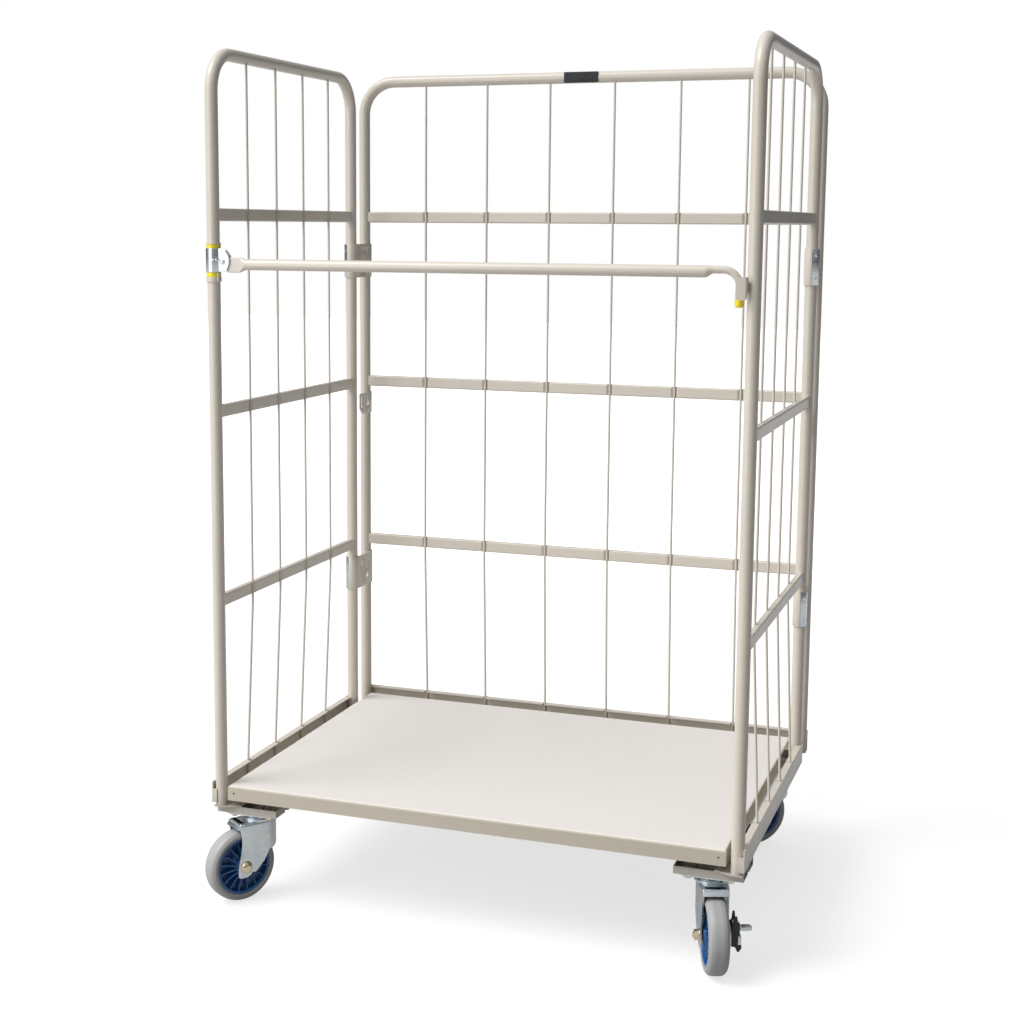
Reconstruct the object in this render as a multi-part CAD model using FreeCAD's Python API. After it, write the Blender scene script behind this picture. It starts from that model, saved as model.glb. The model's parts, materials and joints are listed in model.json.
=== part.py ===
import FreeCAD, Part
import math
import os

from FreeCAD import Vector

# Roll cage container, in millimetres. X runs to the right, Y to the back and Z up from the floor.
# Everything is laid out from the axis of the front posts and moved at the end, so that the
# origin is on the floor in the middle of the whole object.

# --- cage -----------------------------------------------------------------
cage_width = 1100.0          # over the posts
cage_height = 1740.0         # floor to the top of the top tubes
side_depth = 672.0           # front post axis to rear post axis of a side panel
back_gap = 82.6              # rear post axis to the back panel's post axis
tube_d = 25.4
tube_wall = 1.6
bend_radius = 75.0
free_foot_rise = 7.0         # lower ends of the other posts above the front posts' foot plates
rail_drops = [314.3, 705.3, 1093.0]    # top tube axis down to each rail's axis
rail_depth = 14.0            # the rails are tubes pressed flat
rail_edge_r = 3.5

# --- wires and the dimples they lie in --------------------------------------
wire_d = 5.0
side_wire_count = 4
side_wire_pitch = 131.7
back_wire_count = 6
back_wire_pitch = 151.5
wire_bend = 20.0
dimple_depth = 4.0
dimple_floor = 5.4
dimple_mouth = 16.0
slant_end_rise = 50.0        # the wires stand against the bottom rail's web below this height on it

# --- bottom rails -------------------------------------------------------------
sheet = 2.3
side_rail_height = 44.0
back_rail_height = 48.0
flange_depth = 14.0
flange_end_gap = 1.3
side_rail_tail = 8.0         # how far it runs past the rear post's axis
lip_depth = 11.0
lip_height = 29.0
notch_gap = 1.0

# --- deck ---------------------------------------------------------------------
deck_side_gap = 7.1          # to the inside of the posts
deck_overhang = 12.0         # in front of the front posts' axis
deck_clearance = 17.0        # the skirts' lower edge above the channels
deck_skirt = 31.0
deck_sheet = 1.6
deck_edge_radius = 5.0
deck_rear_gap = 6.9          # to the front of the back posts
side_skirt_end = 600.0
skirt_corner_radius = 14.0
rear_skirt_inset = 37.5
corner_hole_d = 4.5
corner_hole_inset = 14.0
hat_width = 44.0
hat_top_width = 26.0
hat_places = [23.0, 300.0, 560.0]
hat_end_gap = 4.0

# --- deck hinge -----------------------------------------------------------------
deck_axis_back = 43.0        # behind the side panels' rear posts
deck_axis_drop = 15.0        # below the deck's top
deck_pin_d = 10.0
deck_pin_head_d = 15.0
deck_pin_head = 3.0
deck_lug_radius = 12.0
deck_bracket_rear = 7.0      # behind the pin, so that the raised deck's edge passes
deck_bracket_inset = 42.3
lug_gap = 3.0
lug_sheet = 3.0

# --- caster brackets ---------------------------------------------------------------
channel_height = 15.0
channel_inset = 122.3        # from the posts' axis in to the channels' inner ends
channel_outer_gap = 1.0      # to the inside of the posts' outermost line
front_channels = [(2.0, 45.0), (58.0, 100.0)]
foot_plate_sheet = 3.0
foot_plate_inset = 43.3
foot_plate_front = -12.7
foot_plate_taper = 36.0
foot_plate_back = 104.0
rest_stud_insets = [82.3, 38.3]
rest_stud_d = 8.0
rest_stud_head_d = 14.0
rest_stud_head = 6.5
seat_gap = 0.3
tray_front = 14.0            # behind the side panels' rear posts
tray_side_gap = 1.6          # to the inside of the posts
tray_rear_drop = 4.0         # below the deck's top

# --- casters ---------------------------------------------------------------------
wheel_d = 150.0
tyre_width = 40.0
tyre_bore = 120.0
tyre_round = 13.0
hub_width = 46.0
hub_rim_wall = 6.0
hub_rim_width = 36.0
hub_web = 9.0
hub_boss_d = 36.0
axle_d = 12.0
axle_head_d = 25.0
axle_head = 7.0
axle_head_round = 6.0
axle_nut = 18.0
axle_nut_height = 9.0
fork_width = 58.0
fork_sheet = 3.0
wheel_gap = 15.0             # from the tyre to the fork's bridge
fork_front = 42.0
fork_rear = 38.0
fork_foot = 17.0
fork_rear_taper = 4.0
caster_trail = 45.0
race_d = 76.0
fork_race_d = 70.0
fork_race_height = 8.0
race_gap = 0.4
race_height = 6.6
caster_plate = 4.0
caster_plate_x = 104.0
caster_plate_y = 90.0
caster_bolt_x = 80.0
caster_bolt_y = 56.0
bolt_d = 10.0
bolt_head = 6.4
bolt_nut_height = 7.0
hex_across = 16.0
kingpin_d = 12.0
kingpin_nut_d = 24.0
kingpin_nut_height = 7.0
front_caster_inset = 57.3
front_caster_y = 51.0
rear_caster_inset = 60.3
rear_caster_back = 61.0      # behind the side panels' rear posts
caster_headings = {"front_left": -124.0, "front_right": -70.0, "rear_left": -60.0, "rear_right": -149.0}
running_gap = 0.05

# --- wheel brakes ----------------------------------------------------------------
brake_body_width = 20.0
brake_body_drop = 23.0       # below the wheel's axis
brake_body_rise = 47.0       # above it
brake_wall = 3.0
brake_body_half = 17.0
brake_pin_d = 6.0
brake_pin_rise = 21.0
brake_pin_offset = 11.0      # from the fork's leg
pedal_reach = 26.0
pedal_width = 30.0
pedal_thick = 8.0
pedal_boss_d = 14.0
pedal_neck = 4.0             # from the housing to the toe plate
pedal_gap = 1.0              # each side of the pedal's boss
head_gap = 1.0               # round the axle's head

# --- panel hinges ----------------------------------------------------------------
hinge_drop = 416.3           # upper hinge's middle below the top tube's axis
low_hinge_z = 564.0
hinge_height = 78.0
knuckle_wall = 2.65
hinge_split = 3.0            # where the strap meets the leaf, outside the post's axis
leaf_past_post = 2.0
leaf_wrap_reach = 10.0       # behind the back post
leaf_slot_height = 22.0
leaf_slot_width = 5.0
leaf_hole_d = 6.0
leaf_hole_rise = 24.0

# --- catch plates and label ----------------------------------------------------------
catch_drop = 77.0            # lower edge below the middle rails' axis
catch_height = 50.0
catch_front = 6.0            # behind the rear post's surface
catch_sheet = 2.5
catch_hole_d = 16.0
label_width = 80.0
label_height = 24.0
label_shift = -2.0
label_sheet = 1.5

# --- safety bar --------------------------------------------------------------------
bar_drop = 411.3             # below the top tube's axis
bar_d = 21.7
bar_wall = 1.6
bar_pressed_d = 13.5
bar_pressed_inset = 66.3
bar_bend_inset = 41.3
bar_tail_inset = 26.3
bar_tail_drop = 26.0
bar_tail_end = 50.0
bar_tail_bend = 10.0
bar_cap_d = 16.0
bar_cap_low = 63.0
bar_cap_height = 15.0
bar_flat = 6.0
bar_flat_height = 29.0
bar_flat_shoulder = 15.0     # from the pivot to where the flattened end is full height
bar_flat_inset = 61.3
pivot_inset = 22.3           # inside the left post's axis
pivot_rise = 5.0
pivot_d = 8.0
pivot_head_d = 13.0
pivot_head = 4.5
pivot_thread = 2.0           # past the nut
ear_sheet = 3.0
ear_gap = 0.3
ear_reach = 38.0
ear_corner = 12.0
sleeve_wall = 2.45
sleeve_low = 15.7            # below the bar's axis
sleeve_height = 47.0
ring_wall = 1.7
ring_heights = [9.0, 7.5]
collar_wall = 2.3
collar_heights = [10.0, 2.5]
socket_gap_y = 9.3           # in front of the post
socket_inset = 29.3
socket_sheet = 2.0
socket_low = 49.0
socket_high = 8.4
socket_side_inset = 8.3
socket_side_low = 36.0

# --- what follows from them ------------------------------------------------------
tube_r = tube_d / 2
wire_r = wire_d / 2
wheel_r = wheel_d / 2
fork_bridge_z = wheel_d + wheel_gap
bridge_top_z = fork_bridge_z + fork_sheet
fork_race_top_z = bridge_top_z + fork_race_height
race_low_z = fork_race_top_z + race_gap
channel_low_z = race_low_z + race_height + caster_plate
channel_top_z = channel_low_z + channel_height
side_foot_z = channel_top_z + foot_plate_sheet
free_foot_z = side_foot_z + free_foot_rise
rail_low_z = free_foot_z
deck_low_z = channel_top_z + deck_clearance
deck_top_z = deck_low_z + deck_skirt
deck_axis_z = deck_top_z - deck_axis_drop
post_x = (cage_width - tube_d) / 2
top_z = cage_height - tube_r
back_y = side_depth + back_gap
rail_heights = [top_z - drop for drop in rail_drops]
inner_face_x = post_x - tube_r
rail_face = rail_depth / 2
wire_inset = rail_face - dimple_depth + wire_r
web_x = post_x + tube_r
web_y = back_y + tube_r
deck_axis_y = side_depth + deck_axis_back
bar_z = top_z - bar_drop
hinge_heights = [top_z - hinge_drop, low_hinge_z]
up = Vector(0, 0, 1)
right = Vector(1, 0, 0)
back = Vector(0, 1, 0)
sides = {"left": -1, "right": 1}


def block(xs, ys, zs):
    low = Vector(min(xs), min(ys), min(zs))
    return Part.makeBox(max(xs) - low.x, max(ys) - low.y, max(zs) - low.z, low)


def side_block(side, xs, ys, zs):
    return block([side * x for x in xs], ys, zs)


def rod(diameter, start, end):
    along = end - start
    return Part.makeCylinder(diameter / 2, along.Length, start, along)


def ring(outer_d, inner_d, start, end):
    return rod(outer_d, start, end).cut(rod(inner_d, start, end))


def prism(points, direction):
    wire = Part.makePolygon(points + [points[0]])
    return Part.Face(wire).extrude(direction)


def hexagon(across, start, height, axis=up):
    """A hexagonal head or nut standing on a point."""
    reach = across / math.sqrt(3)
    first = right if abs(axis.z) > 0.5 else up
    second = axis.cross(first)
    corners = []
    for step in range(6):
        angle = math.radians(60 * step)
        corners.append(start + first * (reach * math.cos(angle)) + second * (reach * math.sin(angle)))
    return prism(corners, axis * height)


def rounded_path(points, radius):
    """Straight runs joined by tangent arcs."""
    edges = []
    start = points[0]
    for before, corner, after in zip(points, points[1:], points[2:]):
        to_before = (before - corner).normalize()
        to_after = (after - corner).normalize()
        half = to_before.getAngle(to_after) / 2
        reach = radius / math.tan(half)
        towards_middle = (to_before + to_after).normalize()
        arc_start = corner + to_before * reach
        arc_end = corner + to_after * reach
        arc_middle = corner + towards_middle * (radius / math.sin(half) - radius)
        edges.append(Part.LineSegment(start, arc_start).toShape())
        edges.append(Part.Arc(arc_start, arc_middle, arc_end).toShape())
        start = arc_end
    edges.append(Part.LineSegment(start, points[-1]).toShape())
    return Part.Wire(edges)


def bent_rod(points, radius, diameter):
    start_direction = (points[1] - points[0]).normalize()
    circle = Part.Wire(Part.makeCircle(diameter / 2, points[0], start_direction))
    return rounded_path(points, radius).makePipe(Part.Face(circle))


def bent_tube(points, radius, diameter, wall):
    return bent_rod(points, radius, diameter).cut(bent_rod(points, radius, diameter - 2 * wall))


def centred_places(count, pitch, middle):
    return [middle + (index - (count - 1) / 2) * pitch for index in range(count)]


side_wire_places = centred_places(side_wire_count, side_wire_pitch, side_depth / 2)
back_wire_places = centred_places(back_wire_count, back_wire_pitch, 0)


# --- frames, rails and wires --------------------------------------------------------

def side_frame(side):
    x = side * post_x
    points = [
        Vector(x, 0, side_foot_z),
        Vector(x, 0, top_z),
        Vector(x, side_depth, top_z),
        Vector(x, side_depth, free_foot_z),
    ]
    return bent_tube(points, bend_radius, tube_d, tube_wall)


def back_frame():
    points = [
        Vector(-post_x, back_y, free_foot_z),
        Vector(-post_x, back_y, top_z),
        Vector(post_x, back_y, top_z),
        Vector(post_x, back_y, free_foot_z),
    ]
    return bent_tube(points, bend_radius, tube_d, tube_wall)


def dimple(centre, along, inward, floor):
    """The space pressed out of a rail where a wire crosses it."""
    slope = (dimple_mouth - dimple_floor) / 2 / dimple_depth
    rise = rail_face - floor + 1
    half_floor = dimple_floor / 2
    half_mouth = half_floor + slope * rise
    outline = [
        (-half_floor, floor),
        (half_floor, floor),
        (half_mouth, floor + rise),
        (-half_mouth, floor + rise),
    ]
    low = centre - up * tube_d
    return prism([low + along * a + inward * b for a, b in outline], up * (2 * tube_d))


def flat_bar(start, along, length, inward, inset):
    """A bar with rounded long edges along a rail's axis, smaller than the rail by inset."""
    reach = inward * (rail_face - inset) + up * (tube_r - inset)
    low, high = start - reach, start + along * length + reach
    bar = block((low.x, high.x), (low.y, high.y), (low.z, high.z))
    long_edges = [edge for edge in bar.Edges if abs(edge.Length - length) < 0.01]
    return bar.makeFillet(rail_edge_r - inset, long_edges)


def rail(start, along, length, inward, places):
    """A flattened tube between two posts, its ends cut to sit on them, pressed in at each wire."""
    outer = flat_bar(start, along, length, inward, 0)
    core = flat_bar(start, along, length, inward, tube_wall)
    for place in places:
        centre = start + along * place
        outer = outer.cut(dimple(centre, along, inward, rail_face - dimple_depth))
        core = core.cut(dimple(centre, along, inward, rail_face - dimple_depth - tube_wall))
    shape = outer.cut(core)
    for end in (start, start + along * length):
        shape = shape.cut(Part.makeCylinder(tube_r, 2 * tube_d, end - up * tube_d, up))
    return shape


def side_rails(side):
    inward = right * -side
    rails = []
    for height in rail_heights:
        rails.append(rail(Vector(side * post_x, 0, height), back, side_depth, inward, side_wire_places))
    return Part.makeCompound(rails)


def back_rails():
    places = [place + post_x for place in back_wire_places]
    rails = []
    for height in rail_heights:
        rails.append(rail(Vector(-post_x, back_y, height), right, 2 * post_x, back * -1, places))
    return Part.makeCompound(rails)


def wire(foot, inward, top_cut):
    """One upright wire. foot is the point of the post plane below it at floor level."""
    against_web = wire_r - tube_r
    steps = [
        (wire_inset, top_z),
        (wire_inset, rail_heights[-1] - tube_d),
        (against_web, rail_low_z + slant_end_rise),
        (against_web, rail_low_z + sheet + wire_r),
    ]
    points = [foot + inward * offset + up * height for offset, height in steps]
    return bent_rod(points, wire_bend, wire_d).cut(top_cut)


def side_wires(side):
    x = side * post_x
    top = rod(tube_d, Vector(x, 0, top_z), Vector(x, side_depth, top_z))
    inward = right * -side
    return Part.makeCompound([wire(Vector(x, y, 0), inward, top) for y in side_wire_places])


def back_wires():
    top = rod(tube_d, Vector(-post_x, back_y, top_z), Vector(post_x, back_y, top_z))
    return Part.makeCompound([wire(Vector(x, back_y, 0), back * -1, top) for x in back_wire_places])


def side_bottom_rail(side):
    rail_top_z = rail_low_z + side_rail_height
    front = -tube_r - sheet
    heights = (rail_low_z, rail_top_z)
    web = side_block(side, (web_x, web_x + sheet), (front, side_depth + side_rail_tail), heights)
    flange_ys = (tube_r + flange_end_gap, side_depth - tube_r - flange_end_gap)
    flange_xs = (web_x + sheet - flange_depth, web_x + sheet)
    shape = web
    for low in (rail_low_z, rail_top_z - sheet):
        shape = shape.fuse(side_block(side, flange_xs, flange_ys, (low, low + sheet)))
    lip_xs = (web_x + sheet - lip_depth, web_x + sheet)
    lip_zs = (rail_low_z, rail_low_z + lip_height)
    shape = shape.fuse(side_block(side, lip_xs, (front, -tube_r), lip_zs))
    half_notch = wire_r + notch_gap
    for y in side_wire_places:
        notch_zs = (rail_top_z - sheet, rail_top_z)
        notch_xs = (web_x - wire_d - 2 * notch_gap - flange_depth, web_x)
        shape = shape.cut(side_block(side, notch_xs, (y - half_notch, y + half_notch), notch_zs))
    return shape.removeSplitter()


def back_bottom_rail():
    rail_top_z = rail_low_z + back_rail_height
    shape = block((-web_x, web_x), (web_y, web_y + sheet), (rail_low_z, rail_top_z))
    flange_x = inner_face_x - flange_end_gap
    flange_ys = (web_y + sheet - flange_depth, web_y + sheet)
    for low in (rail_low_z, rail_top_z - sheet):
        shape = shape.fuse(block((-flange_x, flange_x), flange_ys, (low, low + sheet)))
    half_notch = wire_r + notch_gap
    for x in back_wire_places:
        notch_ys = (web_y - flange_depth, web_y)
        notch_zs = (rail_top_z - sheet, rail_top_z)
        shape = shape.cut(block((x - half_notch, x + half_notch), notch_ys, notch_zs))
    return shape.removeSplitter()


# --- deck ----------------------------------------------------------------------------

deck_x = inner_face_x - deck_side_gap
deck_rear_y = back_y - tube_r - deck_rear_gap
deck_bracket_x = post_x - deck_bracket_inset
pin_far_x = deck_bracket_x + lug_sheet
lug_x = deck_bracket_x - lug_gap - lug_sheet


def deck_pan():
    """A pressed pan, open below, with a hole near each end of its front skirt."""
    ys = (-deck_overhang, deck_rear_y)
    outer = block((-deck_x, deck_x), ys, (deck_low_z, deck_top_z))
    rim = [edge for edge in outer.Edges if edge.BoundBox.ZMin > deck_top_z - 0.1]
    outer = outer.makeFillet(deck_edge_radius, rim)
    inner_ys = (ys[0] + deck_sheet, ys[1] - deck_sheet)
    inner_x = deck_x - deck_sheet
    inner = block((-inner_x, inner_x), inner_ys, (deck_low_z - 1, deck_top_z - deck_sheet))
    inner_rim = [edge for edge in inner.Edges if edge.BoundBox.ZMin > deck_top_z - deck_sheet - 0.1]
    inner = inner.makeFillet(deck_edge_radius - deck_sheet, inner_rim)
    shape = outer.cut(inner)
    below_top = deck_top_z - deck_edge_radius
    for side in sides.values():
        away = side_block(
            side,
            (deck_x - rear_skirt_inset, deck_x + 1),
            (side_skirt_end, ys[1] + 1),
            (deck_low_z - 1, below_top),
        )
        corner = [
            edge for edge in away.Edges
            if edge.BoundBox.YMax < side_skirt_end + 0.1 and edge.BoundBox.ZMin > below_top - 0.1
        ]
        away = away.makeFillet(skirt_corner_radius, corner)
        shape = shape.cut(away)
        hole_x = side * (deck_x - corner_hole_inset)
        hole_z = deck_top_z - deck_skirt / 2
        hole = rod(corner_hole_d, Vector(hole_x, ys[0] - 1, hole_z), Vector(hole_x, ys[0] + 5, hole_z))
        shape = shape.cut(hole)
    return shape


def deck_hat(y):
    """A folded stiffener under the pan, with feet welded to it and a flat crown below."""
    half_foot = hat_width / 2
    half_crown = hat_top_width / 2
    pan_z = deck_top_z - deck_sheet
    foot_z = pan_z - deck_sheet
    inner_crown_z = deck_low_z + deck_sheet
    outline = [
        (-half_foot, pan_z),
        (-half_foot, foot_z),
        (-half_crown - deck_sheet, foot_z),
        (-half_crown, deck_low_z),
        (half_crown, deck_low_z),
        (half_crown + deck_sheet, foot_z),
        (half_foot, foot_z),
        (half_foot, pan_z),
        (half_crown, pan_z),
        (half_crown - deck_sheet, inner_crown_z),
        (-half_crown + deck_sheet, inner_crown_z),
        (-half_crown, pan_z),
    ]
    half_length = deck_x - deck_sheet - hat_end_gap
    points = [Vector(-half_length, y + across, z) for across, z in outline]
    return prism(points, right * (2 * half_length))


def deck_lug(side):
    """Welded under the pan, with the bore that turns on the fixed pin."""
    low_x = lug_x
    centre = Vector(side * low_x, deck_axis_y, deck_axis_z)
    across = right * (side * lug_sheet)
    ys = (deck_axis_y - deck_lug_radius, deck_axis_y + deck_lug_radius)
    plate = side_block(side, (low_x, low_x + lug_sheet), ys, (deck_axis_z, deck_top_z - deck_sheet))
    plate = plate.fuse(rod(2 * deck_lug_radius, centre, centre + across))
    bore = rod(deck_pin_d + 2 * running_gap, centre - across, centre + across * 2)
    return plate.cut(bore).removeSplitter()


def deck_bracket(side):
    """Stands on the rear caster tray and carries the deck's pin."""
    centre = Vector(side * deck_bracket_x, deck_axis_y, deck_axis_z)
    across = right * (side * lug_sheet)
    ys = (deck_axis_y - deck_lug_radius, deck_axis_y + deck_bracket_rear)
    floor_z = channel_low_z + sheet
    plate = side_block(side, (deck_bracket_x, pin_far_x), ys, (floor_z, deck_axis_z))
    plate = plate.fuse(rod(2 * deck_lug_radius, centre, centre + across))
    return plate.cut(rod(deck_pin_d, centre - across, centre + across * 2)).removeSplitter()


def deck_pin(side):
    inner = Vector(side * (lug_x - lug_sheet), deck_axis_y, deck_axis_z)
    outer = Vector(side * pin_far_x, deck_axis_y, deck_axis_z)
    head = rod(deck_pin_head_d, outer, outer + right * (side * deck_pin_head))
    return rod(deck_pin_d, inner, outer).fuse(head)


# --- caster brackets ---------------------------------------------------------------------

def bolt_places(x, y):
    return [
        (x + across * caster_bolt_x / 2, y + along * caster_bolt_y / 2)
        for across in (-1, 1)
        for along in (-1, 1)
    ]


def drilled(shape, places, low, high):
    for x, y in places:
        shape = shape.cut(rod(bolt_d, Vector(x, y, low), Vector(x, y, high)))
    return shape


def front_caster_place(side):
    return side * (post_x - front_caster_inset), front_caster_y


def rear_caster_place(side):
    return side * (post_x - rear_caster_inset), side_depth + rear_caster_back


def open_tray(side, xs, ys, rear_top_z):
    """A folded tray, open above, with an end wall at its inner end."""
    floor_top = channel_low_z + sheet
    outer = side_block(side, xs, ys, (channel_low_z, channel_top_z))
    inner_ys = (ys[0] + sheet, ys[1] - sheet)
    shape = outer.cut(side_block(side, (xs[0] + sheet, xs[1] + 1), inner_ys, (floor_top, channel_top_z + 1)))
    if rear_top_z > channel_top_z:
        rear_wall = side_block(side, xs, (ys[1] - sheet, ys[1]), (channel_top_z - 1, rear_top_z))
        shape = shape.fuse(rear_wall)
    return shape.removeSplitter()


def caster_channels(side):
    places = bolt_places(*front_caster_place(side))
    xs = (post_x - channel_inset, web_x - channel_outer_gap)
    channels = []
    for ys in front_channels:
        channel = open_tray(side, xs, ys, 0)
        channels.append(drilled(channel, places, channel_low_z - 1, channel_low_z + sheet + 1))
    return Part.makeCompound(channels)


def foot_plate(side):
    """Lies on the channels under the front post, with a slanting front corner."""
    inner = post_x - foot_plate_inset
    outer = web_x - channel_outer_gap
    front_channel_y = front_channels[0][0]
    outline = [
        (outer, foot_plate_front),
        (inner + foot_plate_taper, foot_plate_front),
        (inner, front_channel_y),
        (inner, foot_plate_back),
        (outer, foot_plate_back),
    ]
    return prism([Vector(side * x, y, channel_top_z) for x, y in outline], up * foot_plate_sheet)


def rear_tray(side):
    xs = (post_x - channel_inset, inner_face_x - tray_side_gap)
    ys = (side_depth + tray_front, web_y + 2 * sheet)
    places = bolt_places(*rear_caster_place(side))
    tray = open_tray(side, xs, ys, deck_top_z - tray_rear_drop)
    return drilled(tray, places, channel_low_z - 1, channel_low_z + sheet + 1)


def caster_bolts(x, y):
    """Four bolts, heads up in the channel and nuts under the caster's plate."""
    bolts = []
    head_z = channel_low_z + sheet
    nut_top = channel_low_z - caster_plate
    for bolt_x, bolt_y in bolt_places(x, y):
        low = Vector(bolt_x, bolt_y, nut_top - bolt_nut_height)
        shank = rod(bolt_d, low, Vector(bolt_x, bolt_y, head_z))
        head = hexagon(hex_across, Vector(bolt_x, bolt_y, head_z), bolt_head)
        bolts.append(shank.fuse([head, hexagon(hex_across, low, bolt_nut_height)]))
    return bolts


def rest_studs(side):
    """The deck's front stiffener rests on these."""
    y = hat_places[0]
    top = deck_low_z - seat_gap
    floors = (channel_low_z + sheet, side_foot_z)
    studs = []
    for inset, floor in zip(rest_stud_insets, floors):
        place = side * (post_x - inset)
        head_low = top - rest_stud_head
        stud = rod(rest_stud_d, Vector(place, y, floor), Vector(place, y, head_low))
        studs.append(stud.fuse(rod(rest_stud_head_d, Vector(place, y, head_low), Vector(place, y, top))))
    return studs


# --- casters, each modelled at the origin with its wheel towards +X -----------------------

leg_outer = fork_width / 2
leg_inner = leg_outer - fork_sheet
wheel_centre = Vector(caster_trail, 0, wheel_r)
pin_reach = leg_outer + brake_pin_offset
brake_body_low_z = wheel_r - brake_body_drop
brake_body_top_z = wheel_r + brake_body_rise
brake_pin_z = wheel_r + brake_pin_rise
brake_room_half = pedal_boss_d / 2 + 2 * pedal_gap


def place_caster(shape, place, heading):
    shape = shape.copy()
    shape.rotate(Vector(0, 0, 0), up, heading)
    shape.translate(Vector(place[0], place[1], 0))
    return shape


def caster_top(place):
    """The plate that is bolted on, with its race, kingpin and kingpin nut. It isn't turned."""
    plate_low = channel_low_z - caster_plate
    half_x = caster_plate_x / 2
    half_y = caster_plate_y / 2
    plate = block((-half_x, half_x), (-half_y, half_y), (plate_low, channel_low_z))
    plate = drilled(plate, bolt_places(0, 0), plate_low - 1, channel_low_z + 1)
    race = rod(race_d, Vector(0, 0, race_low_z), Vector(0, 0, plate_low))
    nut_top = fork_bridge_z - seat_gap
    nut_low = nut_top - kingpin_nut_height
    pin = rod(kingpin_d, Vector(0, 0, nut_low), Vector(0, 0, plate_low))
    nut = rod(kingpin_nut_d, Vector(0, 0, nut_low), Vector(0, 0, nut_top))
    return place_caster(plate.fuse([race, pin, nut]).removeSplitter(), place, 0)


def caster_fork():
    bridge = block((-fork_rear, fork_front), (-leg_outer, leg_outer), (fork_bridge_z, bridge_top_z))
    cup = rod(fork_race_d, Vector(0, 0, bridge_top_z), Vector(0, 0, fork_race_top_z))
    outline = [
        (-fork_rear, bridge_top_z),
        (fork_front, bridge_top_z),
        (caster_trail + fork_foot, wheel_r),
        (caster_trail + fork_foot / 2, wheel_r - fork_foot),
        (caster_trail - fork_foot / 2, wheel_r - fork_foot),
        (-fork_rear + fork_rear_taper, fork_bridge_z - fork_front),
        (-fork_rear, fork_bridge_z - fork_front / 2),
    ]
    parts = [cup]
    for low in (-leg_outer, leg_inner):
        parts.append(prism([Vector(x, low, z) for x, z in outline], back * fork_sheet))
    shape = bridge.fuse(parts)
    bore_d = kingpin_d + 2 * running_gap
    shape = shape.cut(rod(bore_d, Vector(0, 0, fork_bridge_z - 1), Vector(0, 0, fork_race_top_z + 1)))
    axle_start = wheel_centre - back * fork_width
    return shape.cut(rod(axle_d, axle_start, axle_start + back * (2 * fork_width))).removeSplitter()


def caster_axle():
    """A bolt with a domed head on one side and a nut on the other."""
    head_face = wheel_centre + back * leg_outer
    nut_face = wheel_centre - back * leg_outer
    head = rod(axle_head_d, head_face, head_face + back * axle_head)
    outer_rim = [edge for edge in head.Edges if edge.BoundBox.YMin > leg_outer + axle_head - 0.1]
    dome = head.makeFillet(axle_head_round, outer_rim)
    shank = rod(axle_d, head_face, nut_face - back * axle_nut_height)
    nut = hexagon(axle_nut, nut_face, axle_nut_height, back * -1)
    return shank.fuse([dome, nut])


def hub():
    half = hub_width / 2
    half_rim = hub_rim_width / 2
    half_web = hub_web / 2
    across = back

    def disc(diameter, half_width):
        return rod(diameter, wheel_centre - across * half_width, wheel_centre + across * half_width)

    rim = disc(tyre_bore, half_rim).cut(disc(tyre_bore - 2 * hub_rim_wall, half_rim + 1))
    shape = rim.fuse([disc(tyre_bore - hub_rim_wall, half_web), disc(hub_boss_d, half)])
    return shape.cut(disc(axle_d + 2 * running_gap, half + 1)).removeSplitter()


def tyre():
    half = tyre_width / 2
    shape = rod(wheel_d, wheel_centre - back * half, wheel_centre + back * half)
    treads = [edge for edge in shape.Edges if edge.Closed and edge.BoundBox.ZLength > wheel_d - 1]
    shape = shape.makeFillet(tyre_round, treads)
    return shape.cut(rod(tyre_bore, wheel_centre - back * tyre_width, wheel_centre + back * tyre_width))


def brake_body(outer):
    """The moulded housing on the fork's outer leg, with two ears for the pedal's pin."""
    near = leg_outer
    far = leg_outer + brake_body_width
    xs = (caster_trail - brake_body_half, caster_trail + brake_body_half)
    shape = block(xs, (outer * near, outer * far), (brake_body_low_z, brake_body_top_z))
    room_low = brake_pin_z - pedal_boss_d / 2 - 3 * pedal_gap
    room_xs = (caster_trail - brake_room_half, caster_trail + brake_room_half)
    room_ys = (outer * (near + brake_wall), outer * (far + 1))
    shape = shape.cut(block(room_xs, room_ys, (room_low, brake_body_top_z + 1)))
    axle_room = rod(axle_head_d + 2 * head_gap, wheel_centre, wheel_centre + back * (outer * (far + 1)))
    shape = shape.cut(axle_room)
    pin_start = Vector(caster_trail, outer * pin_reach, brake_pin_z) - right * (2 * brake_body_half)
    return shape.cut(rod(brake_pin_d, pin_start, pin_start + right * (4 * brake_body_half)))


def brake_pin(outer):
    start = Vector(caster_trail - brake_body_half, outer * pin_reach, brake_pin_z)
    return rod(brake_pin_d, start, start + right * (2 * brake_body_half))


def brake_pedal(outer):
    """A boss on the pin and a flat toe plate that stands out to the side."""
    half = brake_room_half - pedal_gap
    start = Vector(caster_trail - half, outer * pin_reach, brake_pin_z)
    boss = rod(pedal_boss_d, start, start + right * (2 * half))
    neck_end = leg_outer + brake_body_width + pedal_neck
    neck_ys = (outer * pin_reach, outer * neck_end)
    neck_zs = (brake_pin_z, brake_pin_z + pedal_thick)
    neck = block((start.x, start.x + 2 * half), neck_ys, neck_zs)
    plate_xs = (caster_trail - pedal_width / 2, caster_trail + pedal_width / 2)
    plate_ys = (neck_ys[1], outer * (neck_end + pedal_reach))
    plate = block(plate_xs, plate_ys, neck_zs)
    shape = boss.fuse([neck, plate])
    bore_start = start - right * half
    bore_end = bore_start + right * (4 * half)
    return shape.cut(rod(brake_pin_d + 2 * running_gap, bore_start, bore_end))


# --- panel hinges, catch plates and label ----------------------------------------------------

knuckle_bore = tube_d + 2 * running_gap
knuckle_d = knuckle_bore + 2 * knuckle_wall


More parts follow.
